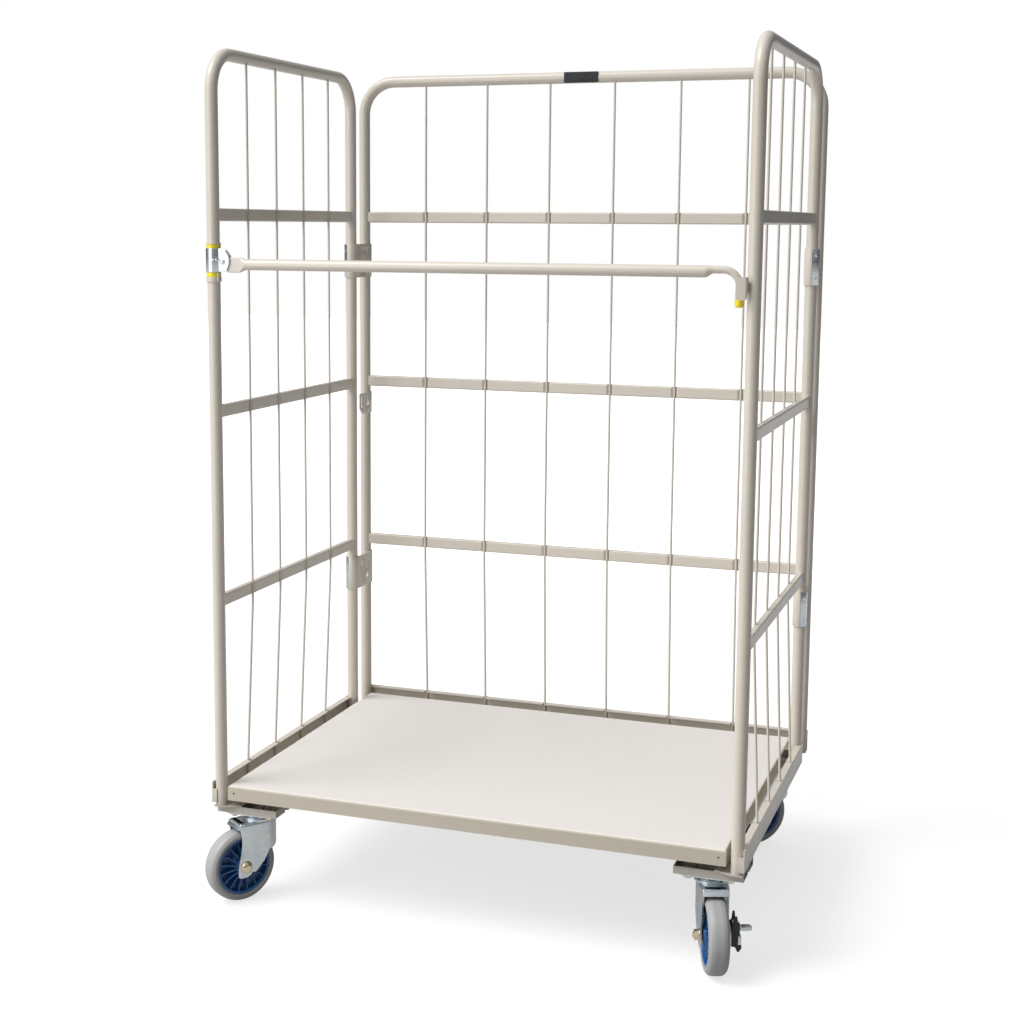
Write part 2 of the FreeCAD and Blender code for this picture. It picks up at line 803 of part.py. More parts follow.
def knuckle_ring(side, height):
    low = Vector(side * post_x, side_depth, height - hinge_height / 2)
    return ring(knuckle_d, knuckle_bore, low, low + up * hinge_height)


def split_block(side, height):
    """Everything outside the line where the strap meets the leaf."""
    xs = (post_x + hinge_split, post_x + knuckle_d)
    ys = (side_depth - knuckle_d, side_depth + knuckle_d)
    return side_block(side, xs, ys, (height - hinge_height, height + hinge_height))


def hinge_leaf(side, height):
    """The half sleeve on the turning post, with a leaf reaching round the back post."""
    zs = (height - hinge_height / 2, height + hinge_height / 2)
    sleeve = knuckle_ring(side, height).cut(split_block(side, height))
    leaf_xs = (post_x - knuckle_d / 2, inner_face_x)
    leaf = side_block(side, leaf_xs, (side_depth, back_y), zs)
    post_low = Vector(side * post_x, back_y, zs[0])
    wrap_d = tube_d + 2 * knuckle_wall + 2 * running_gap
    wrap = ring(wrap_d, tube_d, post_low, post_low + up * hinge_height)
    beyond_xs = (post_x + leaf_past_post, post_x + tube_d)
    beyond = side_block(side, beyond_xs, (side_depth, web_y + leaf_wrap_reach), zs)
    bore_low = Vector(side * post_x, side_depth, zs[0])
    bore = rod(knuckle_bore, bore_low, bore_low + up * hinge_height)
    shape = sleeve.fuse([leaf, wrap.cut(beyond)]).cut(bore)
    middle_y = side_depth + back_gap / 2
    half_slot = leaf_slot_width / 2
    slot_zs = (height - leaf_slot_height / 2, height + leaf_slot_height / 2)
    slot_xs = (leaf_xs[0] - 1, inner_face_x + 1)
    shape = shape.cut(side_block(side, slot_xs, (middle_y - half_slot, middle_y + half_slot), slot_zs))
    for rise in (-leaf_hole_rise, leaf_hole_rise):
        start = Vector(side * (leaf_xs[0] - 1), middle_y, height + rise)
        shape = shape.cut(rod(leaf_hole_d, start, start + right * (side * 2 * knuckle_wall)))
    return shape.removeSplitter()


def hinge_strap(side, height):
    return knuckle_ring(side, height).common(split_block(side, height))


def catch_plate(side):
    """Reaches forward from the back post, with a drop-shaped hole."""
    xs = (inner_face_x - catch_sheet, inner_face_x)
    ys = (side_depth + tube_r + catch_front, back_y)
    low = rail_heights[1] - catch_drop
    zs = (low, low + catch_height)
    plate = side_block(side, xs, ys, zs)
    centre = Vector(side * (xs[0] - 1), (ys[0] + back_y - tube_r) / 2, (zs[0] + zs[1]) / 2)
    across = right * (side * 2 * catch_sheet)
    half = catch_hole_d / 2
    drop = [centre + back * -half, centre + back * half, centre + up * catch_hole_d]
    return plate.cut(rod(catch_hole_d, centre, centre + across)).cut(prism(drop, across))


def label_plate():
    front = back_y - tube_r - label_sheet
    xs = (label_shift - label_width / 2, label_shift + label_width / 2)
    zs = (top_z - label_height / 2, top_z + label_height / 2)
    tube = rod(tube_d, Vector(-post_x, back_y, top_z), Vector(post_x, back_y, top_z))
    return block(xs, (front, back_y - tube_r / 2), zs).cut(tube)


# --- safety bar ----------------------------------------------------------------------------

pivot_x = -(post_x - pivot_inset)
pivot_z = bar_z + pivot_rise
sleeve_d = tube_d + 2 * running_gap + 2 * sleeve_wall
sleeve_low_z = bar_z - sleeve_low
sleeve_top_z = sleeve_low_z + sleeve_height
tail_x = post_x - bar_tail_inset


def bar_sleeve():
    """Turns on the left front post and carries two ears for the bar's pivot."""
    post = Vector(-post_x, 0, 0)
    shape = rod(sleeve_d, post + up * sleeve_low_z, post + up * sleeve_top_z)
    ear_xs = (-post_x, -post_x + ear_reach)
    inner = bar_flat / 2 + ear_gap
    for low in (-inner - ear_sheet, inner):
        ear = block(ear_xs, (low, low + ear_sheet), (sleeve_low_z, sleeve_top_z))
        corners = [
            edge for edge in ear.Edges
            if edge.BoundBox.XMin > ear_xs[1] - 0.1 and edge.BoundBox.YLength > ear_sheet - 0.1
        ]
        shape = shape.fuse(ear.makeFillet(ear_corner, corners))
    bore_d = tube_d + 2 * running_gap
    shape = shape.cut(rod(bore_d, post + up * (sleeve_low_z - 1), post + up * (sleeve_top_z + 1)))
    bolt = rod(pivot_d, Vector(pivot_x, -tube_d, pivot_z), Vector(pivot_x, tube_d, pivot_z))
    return shape.cut(bolt).removeSplitter()


def pivot_bolt():
    reach = bar_flat / 2 + ear_gap + ear_sheet
    front = Vector(pivot_x, -reach, pivot_z)
    rear = Vector(pivot_x, reach, pivot_z)
    shank = rod(pivot_d, front, rear + back * (pivot_head + pivot_thread))
    head = rod(pivot_head_d, front - back * pivot_head, front)
    return shank.fuse([head, hexagon(pivot_head_d, rear, pivot_head, back)])


def collar_stack(wall, lows_and_highs):
    post = Vector(-post_x, 0, 0)
    outer_d = tube_d + 2 * wall
    rings = [ring(outer_d, tube_d, post + up * low, post + up * high) for low, high in lows_and_highs]
    return Part.makeCompound(rings)


ring_low_z = sleeve_low_z - seat_gap - ring_heights[0]
ring_top_z = sleeve_top_z + seat_gap + ring_heights[1]


def post_rings():
    lower = (ring_low_z, sleeve_low_z - seat_gap)
    upper = (sleeve_top_z + seat_gap, ring_top_z)
    return collar_stack(ring_wall, [lower, upper])


def post_collars():
    lower = (ring_low_z - collar_heights[0], ring_low_z)
    upper = (ring_top_z, ring_top_z + collar_heights[1])
    return collar_stack(collar_wall, [lower, upper])


def front_bar():
    """A tube, flattened at the pivot, pressed thinner and bent down at its free end."""
    heel_x = -post_x + sleeve_d / 2 + seat_gap
    flat_end = -(post_x - bar_flat_inset)
    thick_end = post_x - bar_pressed_inset
    low = bar_z - bar_flat_height / 2
    high = bar_z + bar_flat_height / 2
    round_r = pivot_x - heel_x
    outline = [
        (heel_x, low),
        (heel_x, pivot_z),
        (pivot_x, pivot_z + round_r),
        (pivot_x + bar_flat_shoulder, high),
        (flat_end, high),
        (flat_end, low),
    ]
    half_flat = bar_flat / 2
    flat = prism([Vector(x, -half_flat, z) for x, z in outline], back * bar_flat)
    flat = flat.cut(
        block((heel_x - 1, pivot_x), (-bar_flat, bar_flat), (pivot_z, pivot_z + 2 * round_r))
    ).fuse(
        rod(2 * round_r, Vector(pivot_x, -half_flat, pivot_z), Vector(pivot_x, half_flat, pivot_z))
    )
    bore_d = pivot_d + 2 * running_gap
    flat = flat.cut(rod(bore_d, Vector(pivot_x, -bar_flat, pivot_z), Vector(pivot_x, bar_flat, pivot_z)))
    thick = ring(bar_d, bar_d - 2 * bar_wall, Vector(flat_end, 0, bar_z), Vector(thick_end, 0, bar_z))
    plug_left = rod(bar_d, Vector(flat_end - bar_wall, 0, bar_z), Vector(flat_end, 0, bar_z))
    plug_right = rod(bar_d, Vector(thick_end, 0, bar_z), Vector(thick_end + bar_wall, 0, bar_z))
    tail_points = [
        Vector(thick_end, 0, bar_z),
        Vector(post_x - bar_bend_inset, 0, bar_z),
        Vector(tail_x, 0, bar_z - bar_tail_drop),
        Vector(tail_x, 0, bar_z - bar_tail_end),
    ]
    tail = bent_rod(tail_points, bar_tail_bend, bar_pressed_d)
    return thick.fuse([plug_left, plug_right, flat, tail]).removeSplitter()


def bar_cap():
    top = bar_z - bar_cap_low + bar_cap_height
    shape = rod(bar_cap_d, Vector(tail_x, 0, bar_z - bar_cap_low), Vector(tail_x, 0, top))
    tail_end = Vector(tail_x, 0, bar_z - bar_tail_end)
    return shape.cut(rod(bar_pressed_d, tail_end, tail_end + up * bar_cap_height))


def bar_socket():
    """A plate in front of the bar's tail, with a side wall that meets the right front post."""
    front = -tube_r - socket_gap_y - socket_sheet
    inner = post_x - socket_inset
    side_x = post_x - socket_side_inset
    plate_ys = (front, front + socket_sheet)
    top = bar_z - socket_high
    plate = block((inner, side_x), plate_ys, (bar_z - socket_low, top))
    rounded = [
        edge for edge in plate.Edges
        if edge.BoundBox.XMax < inner + 0.1 and edge.BoundBox.YLength > socket_sheet - 0.1
    ]
    plate = plate.makeFillet(socket_sheet * 2, rounded)
    wall = block((side_x - socket_sheet, side_x), (front, 0), (bar_z - socket_side_low, top))
    post = rod(tube_d, Vector(post_x, 0, bar_z - 2 * socket_low), Vector(post_x, 0, bar_z + socket_low))
    return plate.fuse(wall).cut(post).removeSplitter()


# --- putting it together -----------------------------------------------------------------------

nodes = {}

nodes["back_frame"] = back_frame()
nodes["back_rails"] = back_rails()
nodes["back_wires"] = back_wires()
nodes["back_bottom_rail"] = back_bottom_rail()
nodes["back_label_plate"] = label_plate()
hinges = [(side, height) for side in sides.values() for height in hinge_heights]
nodes["hinge_leaves"] = Part.makeCompound([hinge_leaf(side, height) for side, height in hinges])
nodes["hinge_straps"] = Part.makeCompound([hinge_strap(side, height) for side, height in hinges])
nodes["catch_plates"] = Part.makeCompound([catch_plate(s) for s in sides.values()])
nodes["deck_pan"] = deck_pan()
nodes["deck_underframe"] = Part.makeCompound(
    [deck_hat(y) for y in hat_places] + [deck_lug(s) for s in sides.values()]
)
nodes["deck_hinge_brackets"] = Part.makeCompound([deck_bracket(s) for s in sides.values()])
nodes["deck_hinge_pins"] = Part.makeCompound([deck_pin(s) for s in sides.values()])

rear_bolts = []
for name, side in sides.items():
    nodes[name + "_frame"] = side_frame(side)
    nodes[name + "_rails"] = side_rails(side)
    nodes[name + "_wires"] = side_wires(side)
    nodes[name + "_bottom_rail"] = side_bottom_rail(side)
    nodes[name + "_caster_channels"] = caster_channels(side)
    nodes[name + "_foot_plate"] = foot_plate(side)
    nodes[name + "_base_fasteners"] = Part.makeCompound(
        caster_bolts(*front_caster_place(side)) + rest_studs(side)
    )
    nodes["rear_tray_" + name] = rear_tray(side)
    rear_bolts += caster_bolts(*rear_caster_place(side))
nodes["rear_caster_bolts"] = Part.makeCompound(rear_bolts)

nodes["bar_post_rings"] = post_rings()
nodes["bar_post_collars"] = post_collars()
nodes["bar_sleeve"] = bar_sleeve()
nodes["bar_pivot_bolt"] = pivot_bolt()
nodes["front_bar"] = front_bar()
nodes["bar_end_cap"] = bar_cap()
nodes["bar_socket"] = bar_socket()

caster_places = {
    "front_left": front_caster_place(-1),
    "front_right": front_caster_place(1),
    "rear_left": rear_caster_place(-1),
    "rear_right": rear_caster_place(1),
}
for name, place in caster_places.items():
    heading = caster_headings[name]
    outer = -1 if name.endswith("left") else 1
    nodes["caster_top_" + name] = caster_top(place)
    nodes["caster_fork_" + name] = place_caster(caster_fork(), place, heading)
    nodes["caster_axle_" + name] = place_caster(caster_axle(), place, heading)
    nodes["wheel_hub_" + name] = place_caster(hub(), place, heading)
    nodes["tyre_" + name] = place_caster(tyre(), place, heading)
    if name.startswith("front"):
        housing = brake_body(outer).fuse(brake_pin(outer))
        nodes["brake_housing_" + name] = place_caster(housing, place, heading)
        nodes["brake_pedal_" + name] = place_caster(brake_pedal(outer), place, heading)

# the origin goes to the middle of the whole object's footprint
whole = Part.makeCompound(list(nodes.values())).optimalBoundingBox()
to_origin = Vector(-(whole.XMin + whole.XMax) / 2, -(whole.YMin + whole.YMax) / 2, -whole.ZMin)
print("front posts' axis at y = %.4f, x moved by %.4f, z by %.4f" % (to_origin.y, to_origin.x, to_origin.z))

os.makedirs("parts", exist_ok=True)
for name, shape in nodes.items():
    shape.translate(to_origin)
    shape.exportStep("parts/%s.step" % name)
print(len(nodes), "nodes")
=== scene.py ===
import bpy
import bmesh
import json
import math
from mathutils import Matrix, Vector


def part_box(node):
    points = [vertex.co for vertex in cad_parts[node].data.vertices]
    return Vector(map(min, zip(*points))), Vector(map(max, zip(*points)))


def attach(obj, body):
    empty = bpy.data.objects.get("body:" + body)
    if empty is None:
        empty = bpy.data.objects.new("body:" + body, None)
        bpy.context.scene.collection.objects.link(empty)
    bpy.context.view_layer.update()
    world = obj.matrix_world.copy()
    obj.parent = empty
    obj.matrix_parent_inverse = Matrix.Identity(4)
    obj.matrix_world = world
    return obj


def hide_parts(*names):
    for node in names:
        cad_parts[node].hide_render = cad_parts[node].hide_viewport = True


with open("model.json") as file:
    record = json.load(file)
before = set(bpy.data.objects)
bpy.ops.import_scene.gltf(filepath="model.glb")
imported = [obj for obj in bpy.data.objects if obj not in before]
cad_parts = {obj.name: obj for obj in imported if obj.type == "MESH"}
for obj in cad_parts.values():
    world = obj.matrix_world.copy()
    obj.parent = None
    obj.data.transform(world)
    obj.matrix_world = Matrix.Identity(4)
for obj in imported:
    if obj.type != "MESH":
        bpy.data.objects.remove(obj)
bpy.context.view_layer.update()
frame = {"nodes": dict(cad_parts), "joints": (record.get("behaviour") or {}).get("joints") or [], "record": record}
joints = {joint["name"]: joint for joint in frame["joints"]}
slotOf = {row["node"]: row["material_slot"] for row in frame["record"]["subparts"]}
casterNames = ["front_left", "front_right", "rear_left", "rear_right"]
inMetres = Matrix.Scale(0.001, 4)
print("frame loaded:", len(slotOf), "nodes")


# Shader groups, one for each effect that several finishes share.

def newGroup(name, inputs, outputs):
    group = bpy.data.node_groups.new(name, "ShaderNodeTree")
    for label, value in inputs.items():
        kind = "NodeSocketFloat" if isinstance(value, float) else "NodeSocketColor"
        group.interface.new_socket(label, in_out="INPUT", socket_type=kind).default_value = value
    for label, kind in outputs.items():
        group.interface.new_socket(label, in_out="OUTPUT", socket_type=kind)
    return group, group.nodes.new("NodeGroupInput"), group.nodes.new("NodeGroupOutput")


skinOutputs = {"Colour": "NodeSocketColor", "Roughness": "NodeSocketFloat", "Height": "NodeSocketFloat"}


def addNode(tree, kind, **settings):
    node = tree.nodes.new(kind)
    for key, value in settings.items():
        setattr(node, key, value)
    return node


def setOrLink(tree, socket, wanted):
    if isinstance(wanted, bpy.types.NodeSocket):
        tree.links.new(wanted, socket)
    else:
        socket.default_value = wanted


def objectPlace(tree):
    return addNode(tree, "ShaderNodeTexCoord").outputs["Object"]


def noiseOn(tree, coordinates, scale, detail=3.0, roughness=0.55):
    noise = addNode(tree, "ShaderNodeTexNoise")
    noise.inputs["Detail"].default_value = detail
    noise.inputs["Roughness"].default_value = roughness
    setOrLink(tree, noise.inputs["Scale"], scale)
    tree.links.new(coordinates, noise.inputs["Vector"])
    return noise.outputs["Fac"]


def rangeOf(tree, value, fromLow, fromHigh, toLow, toHigh):
    node = addNode(tree, "ShaderNodeMapRange")
    node.inputs["From Min"].default_value = fromLow
    node.inputs["From Max"].default_value = fromHigh
    tree.links.new(value, node.inputs["Value"])
    setOrLink(tree, node.inputs["To Min"], toLow)
    setOrLink(tree, node.inputs["To Max"], toHigh)
    return node.outputs["Result"]


def mixColours(tree, share, first, second):
    node = addNode(tree, "ShaderNodeMix", data_type="RGBA")
    setOrLink(tree, node.inputs["Factor"], share)
    setOrLink(tree, node.inputs[6], first)
    setOrLink(tree, node.inputs[7], second)
    return node.outputs[2]


def calculate(tree, operation, first, second):
    node = addNode(tree, "ShaderNodeMath", operation=operation)
    setOrLink(tree, node.inputs[0], first)
    setOrLink(tree, node.inputs[1], second)
    return node.outputs[0]


sprayedPattern = {
    "driftRange": (0.35, 0.68),
    "speckNoise": (700.0, 3.0, 0.6),      # scale, detail and roughness
    "speckRange": (0.62, 0.80),
    "speckShare": 0.3,
    "smearNoise": (34.0, 4.0, 0.6),
    "smearRange": (0.3, 0.7),
    "peelDetail": 1.0,
}


# a sprayed or moulded skin: slow colour drift, dust specks, uneven gloss and orange peel
def buildSprayedSkin():
    pattern = sprayedPattern
    group, source, target = newGroup("sprayedSkin", {
        "Colour": (0.5, 0.5, 0.5, 1), "Drift Colour": (0.45, 0.45, 0.45, 1),
        "Dust Colour": (0.7, 0.68, 0.64, 1), "Drift Scale": 6.0,
        "Gloss Low": 0.25, "Gloss High": 0.4, "Peel Scale": 420.0, "Peel Height": 0.02,
    }, skinOutputs)
    place = objectPlace(group)
    drift = noiseOn(group, place, source.outputs["Drift Scale"])
    driftShare = rangeOf(group, drift, *pattern["driftRange"], 0.0, 1.0)
    body = mixColours(group, driftShare, source.outputs["Colour"], source.outputs["Drift Colour"])
    specks = noiseOn(group, place, *pattern["speckNoise"])
    speckShare = rangeOf(group, specks, *pattern["speckRange"], 0.0, pattern["speckShare"])
    colour = mixColours(group, speckShare, body, source.outputs["Dust Colour"])
    group.links.new(colour, target.inputs["Colour"])
    smear = noiseOn(group, place, *pattern["smearNoise"])
    glossEnds = source.outputs["Gloss Low"], source.outputs["Gloss High"]
    group.links.new(rangeOf(group, smear, *pattern["smearRange"], *glossEnds), target.inputs["Roughness"])
    peel = noiseOn(group, place, source.outputs["Peel Scale"], pattern["peelDetail"])
    height = calculate(group, "MULTIPLY", peel, source.outputs["Peel Height"])
    group.links.new(height, target.inputs["Height"])
    return group


platedPattern = {
    "tintScale": 22.0,
    "tintRange": (0.35, 0.65),
    "stainNoise": (90.0, 5.0, 0.7),
    "stainRange": (0.62, 0.8),
    "stainShare": 0.4,
    "lineStretch": (1.0, 1.0, 12.0),
    "lineNoise": (90.0, 2.0),
}


# zinc plating: spangled cells, a passivation tint that drifts, stains and rolling lines
def buildPlatedSkin():
    pattern = platedPattern
    group, source, target = newGroup("platedSkin", {
        "Colour": (0.7, 0.73, 0.76, 1), "Tint": (0.6, 0.68, 0.8, 1), "Stain": (0.35, 0.34, 0.33, 1),
        "Cell Scale": 160.0, "Gloss Low": 0.2, "Gloss High": 0.4, "Line Height": 0.05,
    }, skinOutputs)
    place = objectPlace(group)
    tint = noiseOn(group, place, pattern["tintScale"])
    tintShare = rangeOf(group, tint, *pattern["tintRange"], 0.0, 1.0)
    body = mixColours(group, tintShare, source.outputs["Colour"], source.outputs["Tint"])
    stains = noiseOn(group, place, *pattern["stainNoise"])
    stainShare = rangeOf(group, stains, *pattern["stainRange"], 0.0, pattern["stainShare"])
    group.links.new(mixColours(group, stainShare, body, source.outputs["Stain"]), target.inputs["Colour"])
    cells = addNode(group, "ShaderNodeTexVoronoi")
    group.links.new(place, cells.inputs["Vector"])
    group.links.new(source.outputs["Cell Scale"], cells.inputs["Scale"])
    shade = addNode(group, "ShaderNodeSeparateColor")
    group.links.new(cells.outputs["Color"], shade.inputs["Color"])
    glossEnds = source.outputs["Gloss Low"], source.outputs["Gloss High"]
    group.links.new(rangeOf(group, shade.outputs["Red"], 0.0, 1.0, *glossEnds), target.inputs["Roughness"])
    stretch = addNode(group, "ShaderNodeMapping")
    stretch.inputs["Scale"].default_value = pattern["lineStretch"]
    group.links.new(place, stretch.inputs["Vector"])
    lines = noiseOn(group, stretch.outputs["Vector"], *pattern["lineNoise"])
    height = calculate(group, "MULTIPLY", lines, source.outputs["Line Height"])
    group.links.new(height, target.inputs["Height"])
    return group


# a mask that is 1 on what lies above a height of the piece
def buildHeightMask():
    inputs = {"Height": 0.245, "Softness": 0.001}
    group, source, target = newGroup("heightMask", inputs, {"Mask": "NodeSocketFloat"})
    parts = addNode(group, "ShaderNodeSeparateXYZ")
    group.links.new(objectPlace(group), parts.inputs["Vector"])
    above = calculate(group, "SUBTRACT", parts.outputs["Z"], source.outputs["Height"])
    share = addNode(group, "ShaderNodeMath", operation="DIVIDE", use_clamp=True)
    group.links.new(above, share.inputs[0])
    group.links.new(source.outputs["Softness"], share.inputs[1])
    group.links.new(share.outputs[0], target.inputs["Mask"])
    return group


sprayedSkin = buildSprayedSkin()
platedSkin = buildPlatedSkin()
heightMask = buildHeightMask()


# Finishes, one for each slot of the record.

def sprayed(colour, drift, dust, driftScale, gloss, peel, shader, bump=0.0003):
    skinValues = {
        "Colour": (*colour, 1), "Drift Colour": (*drift, 1), "Dust Colour": (*dust, 1),
        "Drift Scale": driftScale,
        "Gloss Low": gloss[0], "Gloss High": gloss[1], "Peel Scale": peel[0], "Peel Height": peel[1],
    }
    return {"group": sprayedSkin, "skin": skinValues, "shader": shader, "bump": bump}


def plated(colour, tint, stain, cellScale, gloss, lineHeight):
    skinValues = {
        "Colour": (*colour, 1), "Tint": (*tint, 1), "Stain": (*stain, 1), "Cell Scale": cellScale,
        "Gloss Low": gloss[0], "Gloss High": gloss[1], "Line Height": lineHeight,
    }
    return {"group": platedSkin, "skin": skinValues, "shader": {"Metallic": 0.95}, "bump": 0.0002}


finishLooks = {
    "frame_paint": sprayed(
        colour=(0.655, 0.605, 0.525), drift=(0.630, 0.580, 0.498), dust=(0.700, 0.665, 0.600),
        driftScale=3.5, gloss=(0.30, 0.42), peel=(300.0, 0.10),
        shader={"Coat Weight": 0.25, "Coat Roughness": 0.22, "IOR": 1.5},
    ),
    "deck_paint": sprayed(
        colour=(0.540, 0.490, 0.405), drift=(0.515, 0.468, 0.384), dust=(0.600, 0.560, 0.490),
        driftScale=2.0, gloss=(0.50, 0.62), peel=(260.0, 0.10),
        shader={"Coat Weight": 0.06, "Coat Roughness": 0.30, "IOR": 1.42},
    ),
    "grey_tyre": sprayed(
        colour=(0.400, 0.400, 0.398), drift=(0.370, 0.370, 0.370), dust=(0.470, 0.460, 0.450),
        driftScale=14.0, gloss=(0.40, 0.56), peel=(700.0, 0.5), shader={"IOR": 1.5},
    ),
    "blue_hub": sprayed(
        colour=(0.018, 0.110, 0.320), drift=(0.014, 0.088, 0.270), dust=(0.060, 0.150, 0.340),
        driftScale=18.0, gloss=(0.22, 0.36), peel=(500.0, 0.3),
        shader={"IOR": 1.5, "Coat Weight": 0.2, "Coat Roughness": 0.15},
    ),
    "black_plastic": sprayed(
        colour=(0.016, 0.016, 0.018), drift=(0.024, 0.024, 0.026), dust=(0.080, 0.077, 0.073),
        driftScale=30.0, gloss=(0.32, 0.50), peel=(900.0, 0.6), shader={"IOR": 1.5},
    ),
    "yellow_plastic": sprayed(
        colour=(0.900, 0.740, 0.012), drift=(0.850, 0.680, 0.010), dust=(0.780, 0.700, 0.200),
        driftScale=40.0, gloss=(0.24, 0.36), peel=(700.0, 0.3),
        shader={"IOR": 1.5, "Coat Weight": 0.25, "Coat Roughness": 0.12},
    ),
    "dark_label": sprayed(
        colour=(0.035, 0.035, 0.040), drift=(0.050, 0.049, 0.052), dust=(0.120, 0.116, 0.110),
        driftScale=26.0, gloss=(0.50, 0.62), peel=(600.0, 0.3),
        shader={"IOR": 1.45, "Specular IOR Level": 0.25}, bump=0.0002,
    ),
    "zinc": plated(
        colour=(0.660, 0.680, 0.670), tint=(0.560, 0.620, 0.660), stain=(0.420, 0.400, 0.370),
        cellScale=260.0, gloss=(0.24, 0.34), lineHeight=0.06,
    ),
    "yellow_zinc": plated(
        colour=(0.720, 0.590, 0.380), tint=(0.640, 0.600, 0.530), stain=(0.320, 0.240, 0.150),
        cellScale=500.0, gloss=(0.20, 0.34), lineHeight=0.08,
    ),
}


def newFinish(name, look):
    material = bpy.data.materials.new(name)
    material.use_nodes = True
    tree = material.node_tree
    shader = tree.nodes["Principled BSDF"]
    for label, value in look["shader"].items():
        shader.inputs[label].default_value = value
    skin = addNode(tree, "ShaderNodeGroup", node_tree=look["group"])
    for label, value in look["skin"].items():
        skin.inputs[label].default_value = value
    tree.links.new(skin.outputs["Colour"], shader.inputs["Base Color"])
    tree.links.new(skin.outputs["Roughness"], shader.inputs["Roughness"])
    bump = addNode(tree, "ShaderNodeBump")
    bump.inputs["Distance"].default_value = look["bump"]
    bump.inputs["Strength"].default_value = 0.5
    tree.links.new(skin.outputs["Height"], bump.inputs["Height"])
    tree.links.new(bump.outputs["Normal"], shader.inputs["Normal"])
    return material


finishes = {name: newFinish(name, look) for name, look in finishLooks.items()}
heightLooks = {
    # painted highlight: a paler colour on the deck's top, where the light falls on it
    "litDeckTop": {"colour": (0.770, 0.735, 0.705, 1), "share": 0.90, "height": 0.2484, "softness": 0.0010},
    # painted shade: the frame paint is darkened towards the floor
    "shadeBelowDeck": {"colour": (0.400, 0.375, 0.335, 1), "share": 0.75, "height": 0.200, "softness": 0.030},
}


# paints one finish another colour on one side of a height
def paintByHeight(name, look, above):
    tree = finishes[name].node_tree
    baseColour = tree.nodes["Principled BSDF"].inputs["Base Color"]
    mask = addNode(tree, "ShaderNodeGroup", node_tree=heightMask)
    mask.inputs["Height"].default_value = look["height"]
    mask.inputs["Softness"].default_value = look["softness"]
    painted = baseColour.links[0].from_socket
    changed = mixColours(tree, look["share"], painted, look["colour"])
    low, high = (painted, changed) if above else (changed, painted)
    tree.links.new(mixColours(tree, mask.outputs["Mask"], low, high), baseColour)


paintByHeight("deck_paint", heightLooks["litDeckTop"], True)      # painted highlight: the deck's top is painted paler than its skirts, as if lit from above
paintByHeight("frame_paint", heightLooks["shadeBelowDeck"], False)       # painted shade: the paint is darker below the deck, where less light reaches
for node, piece in frame["nodes"].items():
    piece.data.materials.clear()
    piece.data.materials.append(finishes[slotOf[node]])
print("finishes made:", len(finishes))


# Mesh helpers. Shapes are drawn in millimetres and placed by one matrix.

def rounded(points, steps=6):
    outline = []
    for index, point in enumerate(points):
        corner = Vector(point[:2])
        radius = point[2] if len(point) > 2 else 0
        if not radius:
            outline.append(corner)
            continue
        before = Vector(points[index - 1][:2]) - corner
        after = Vector(points[(index + 1) % len(points)][:2]) - corner
        half = before.angle(after) / 2
        reach = min(radius / math.tan(half), 0.49 * before.length, 0.49 * after.length)
        radius = reach * math.tan(half)
        centre = corner + (before.normalized() + after.normalized()).normalized() * (radius / math.sin(half))
        start = corner + before.normalized() * reach - centre
        end = corner + after.normalized() * reach - centre
        turn = math.atan2(start.x * end.y - start.y * end.x, start.dot(end))
        for step in range(steps + 1):
            outline.append(centre + Matrix.Rotation(turn * step / steps, 2) @ start)
    return outline


def roundedBox(wide, tall, corner, steps=6):
    return rounded([
        (-wide, -tall, corner), (wide, -tall, corner), (wide, tall, corner), (-wide, tall, corner),
    ], steps)


# a section of radius and height, repeated upside down above its middle
def mirroredSection(half):
    return half + [(radius, -height, corner) for radius, height, corner in reversed(half)]


def smoothLine(points, count):
    line = []
    spans = len(points) - 1
    for index in range(count + 1):
        at = index / count * spans
        span = min(int(at), spans - 1)
        t = at - span
        p1, p2 = Vector(points[span]), Vector(points[span + 1])
        p0 = Vector(points[span - 1]) if span else 2 * p1 - p2
        p3 = Vector(points[span + 2]) if span + 2 <= spans else 2 * p2 - p1
        line.append(
            (2 * p1 + (p2 - p0) * t + (2 * p0 - 5 * p1 + 4 * p2 - p3) * t * t
             + (3 * p1 - p0 - 3 * p2 + p3) * t * t * t) / 2
        )
    return line


def easeOf(value):
    value = min(max(value, 0.0), 1.0)
    return value * value * (3 - 2 * value)


def bevelled(bm, edges, width, steps=2):
    bmesh.ops.bevel(
        bm, geom=edges, offset=width, offset_type="OFFSET", segments=steps, profile=0.5,
        affect="EDGES", material=-1, clamp_overlap=True,
    )


def slab(outline, low, high, rim=0.0, steps=2):
    bm = bmesh.new()
    face = bm.faces.new([bm.verts.new((point[0], point[1], low)) for point in outline])
    made = bmesh.ops.extrude_face_region(bm, geom=[face])["geom"]
    lifted = [item for item in made if isinstance(item, bmesh.types.BMVert)]
    bmesh.ops.translate(bm, verts=lifted, vec=(0, 0, high - low))
    if rim:
        bevelled(bm, [e for e in bm.edges if abs(e.verts[0].co.z - e.verts[1].co.z) < 1e-6], rim, steps)
    return bm


def circle(x, y, radius, count=20):
    turns = [2 * math.pi * k / count for k in range(count)]
    return [(x + radius * math.cos(turn), y + radius * math.sin(turn)) for turn in turns]


def piercedSlab(outline, holes, low, high, rim=0.4):
    bm = bmesh.new()
    edges = []
    for loop in [outline] + holes:
        verts = [bm.verts.new((point[0], point[1], low)) for point in loop]
        edges += [bm.edges.new(pair) for pair in zip(verts, verts[1:] + verts[:1])]
    bmesh.ops.triangle_fill(bm, use_beauty=True, use_dissolve=False, edges=edges)
    made = bmesh.ops.extrude_face_region(bm, geom=list(bm.faces))["geom"]
    lifted = [item for item in made if isinstance(item, bmesh.types.BMVert)]
    bmesh.ops.translate(bm, verts=lifted, vec=(0, 0, high - low))
    bmesh.ops.recalc_face_normals(bm, faces=bm.faces)
    flat = [e for e in bm.edges if abs(e.verts[0].co.z - e.verts[1].co.z) < 1e-6]
    bevelled(bm, [e for e in flat if e.is_manifold and e.calc_face_angle(0.0) > 1.2], rim)
    return bm


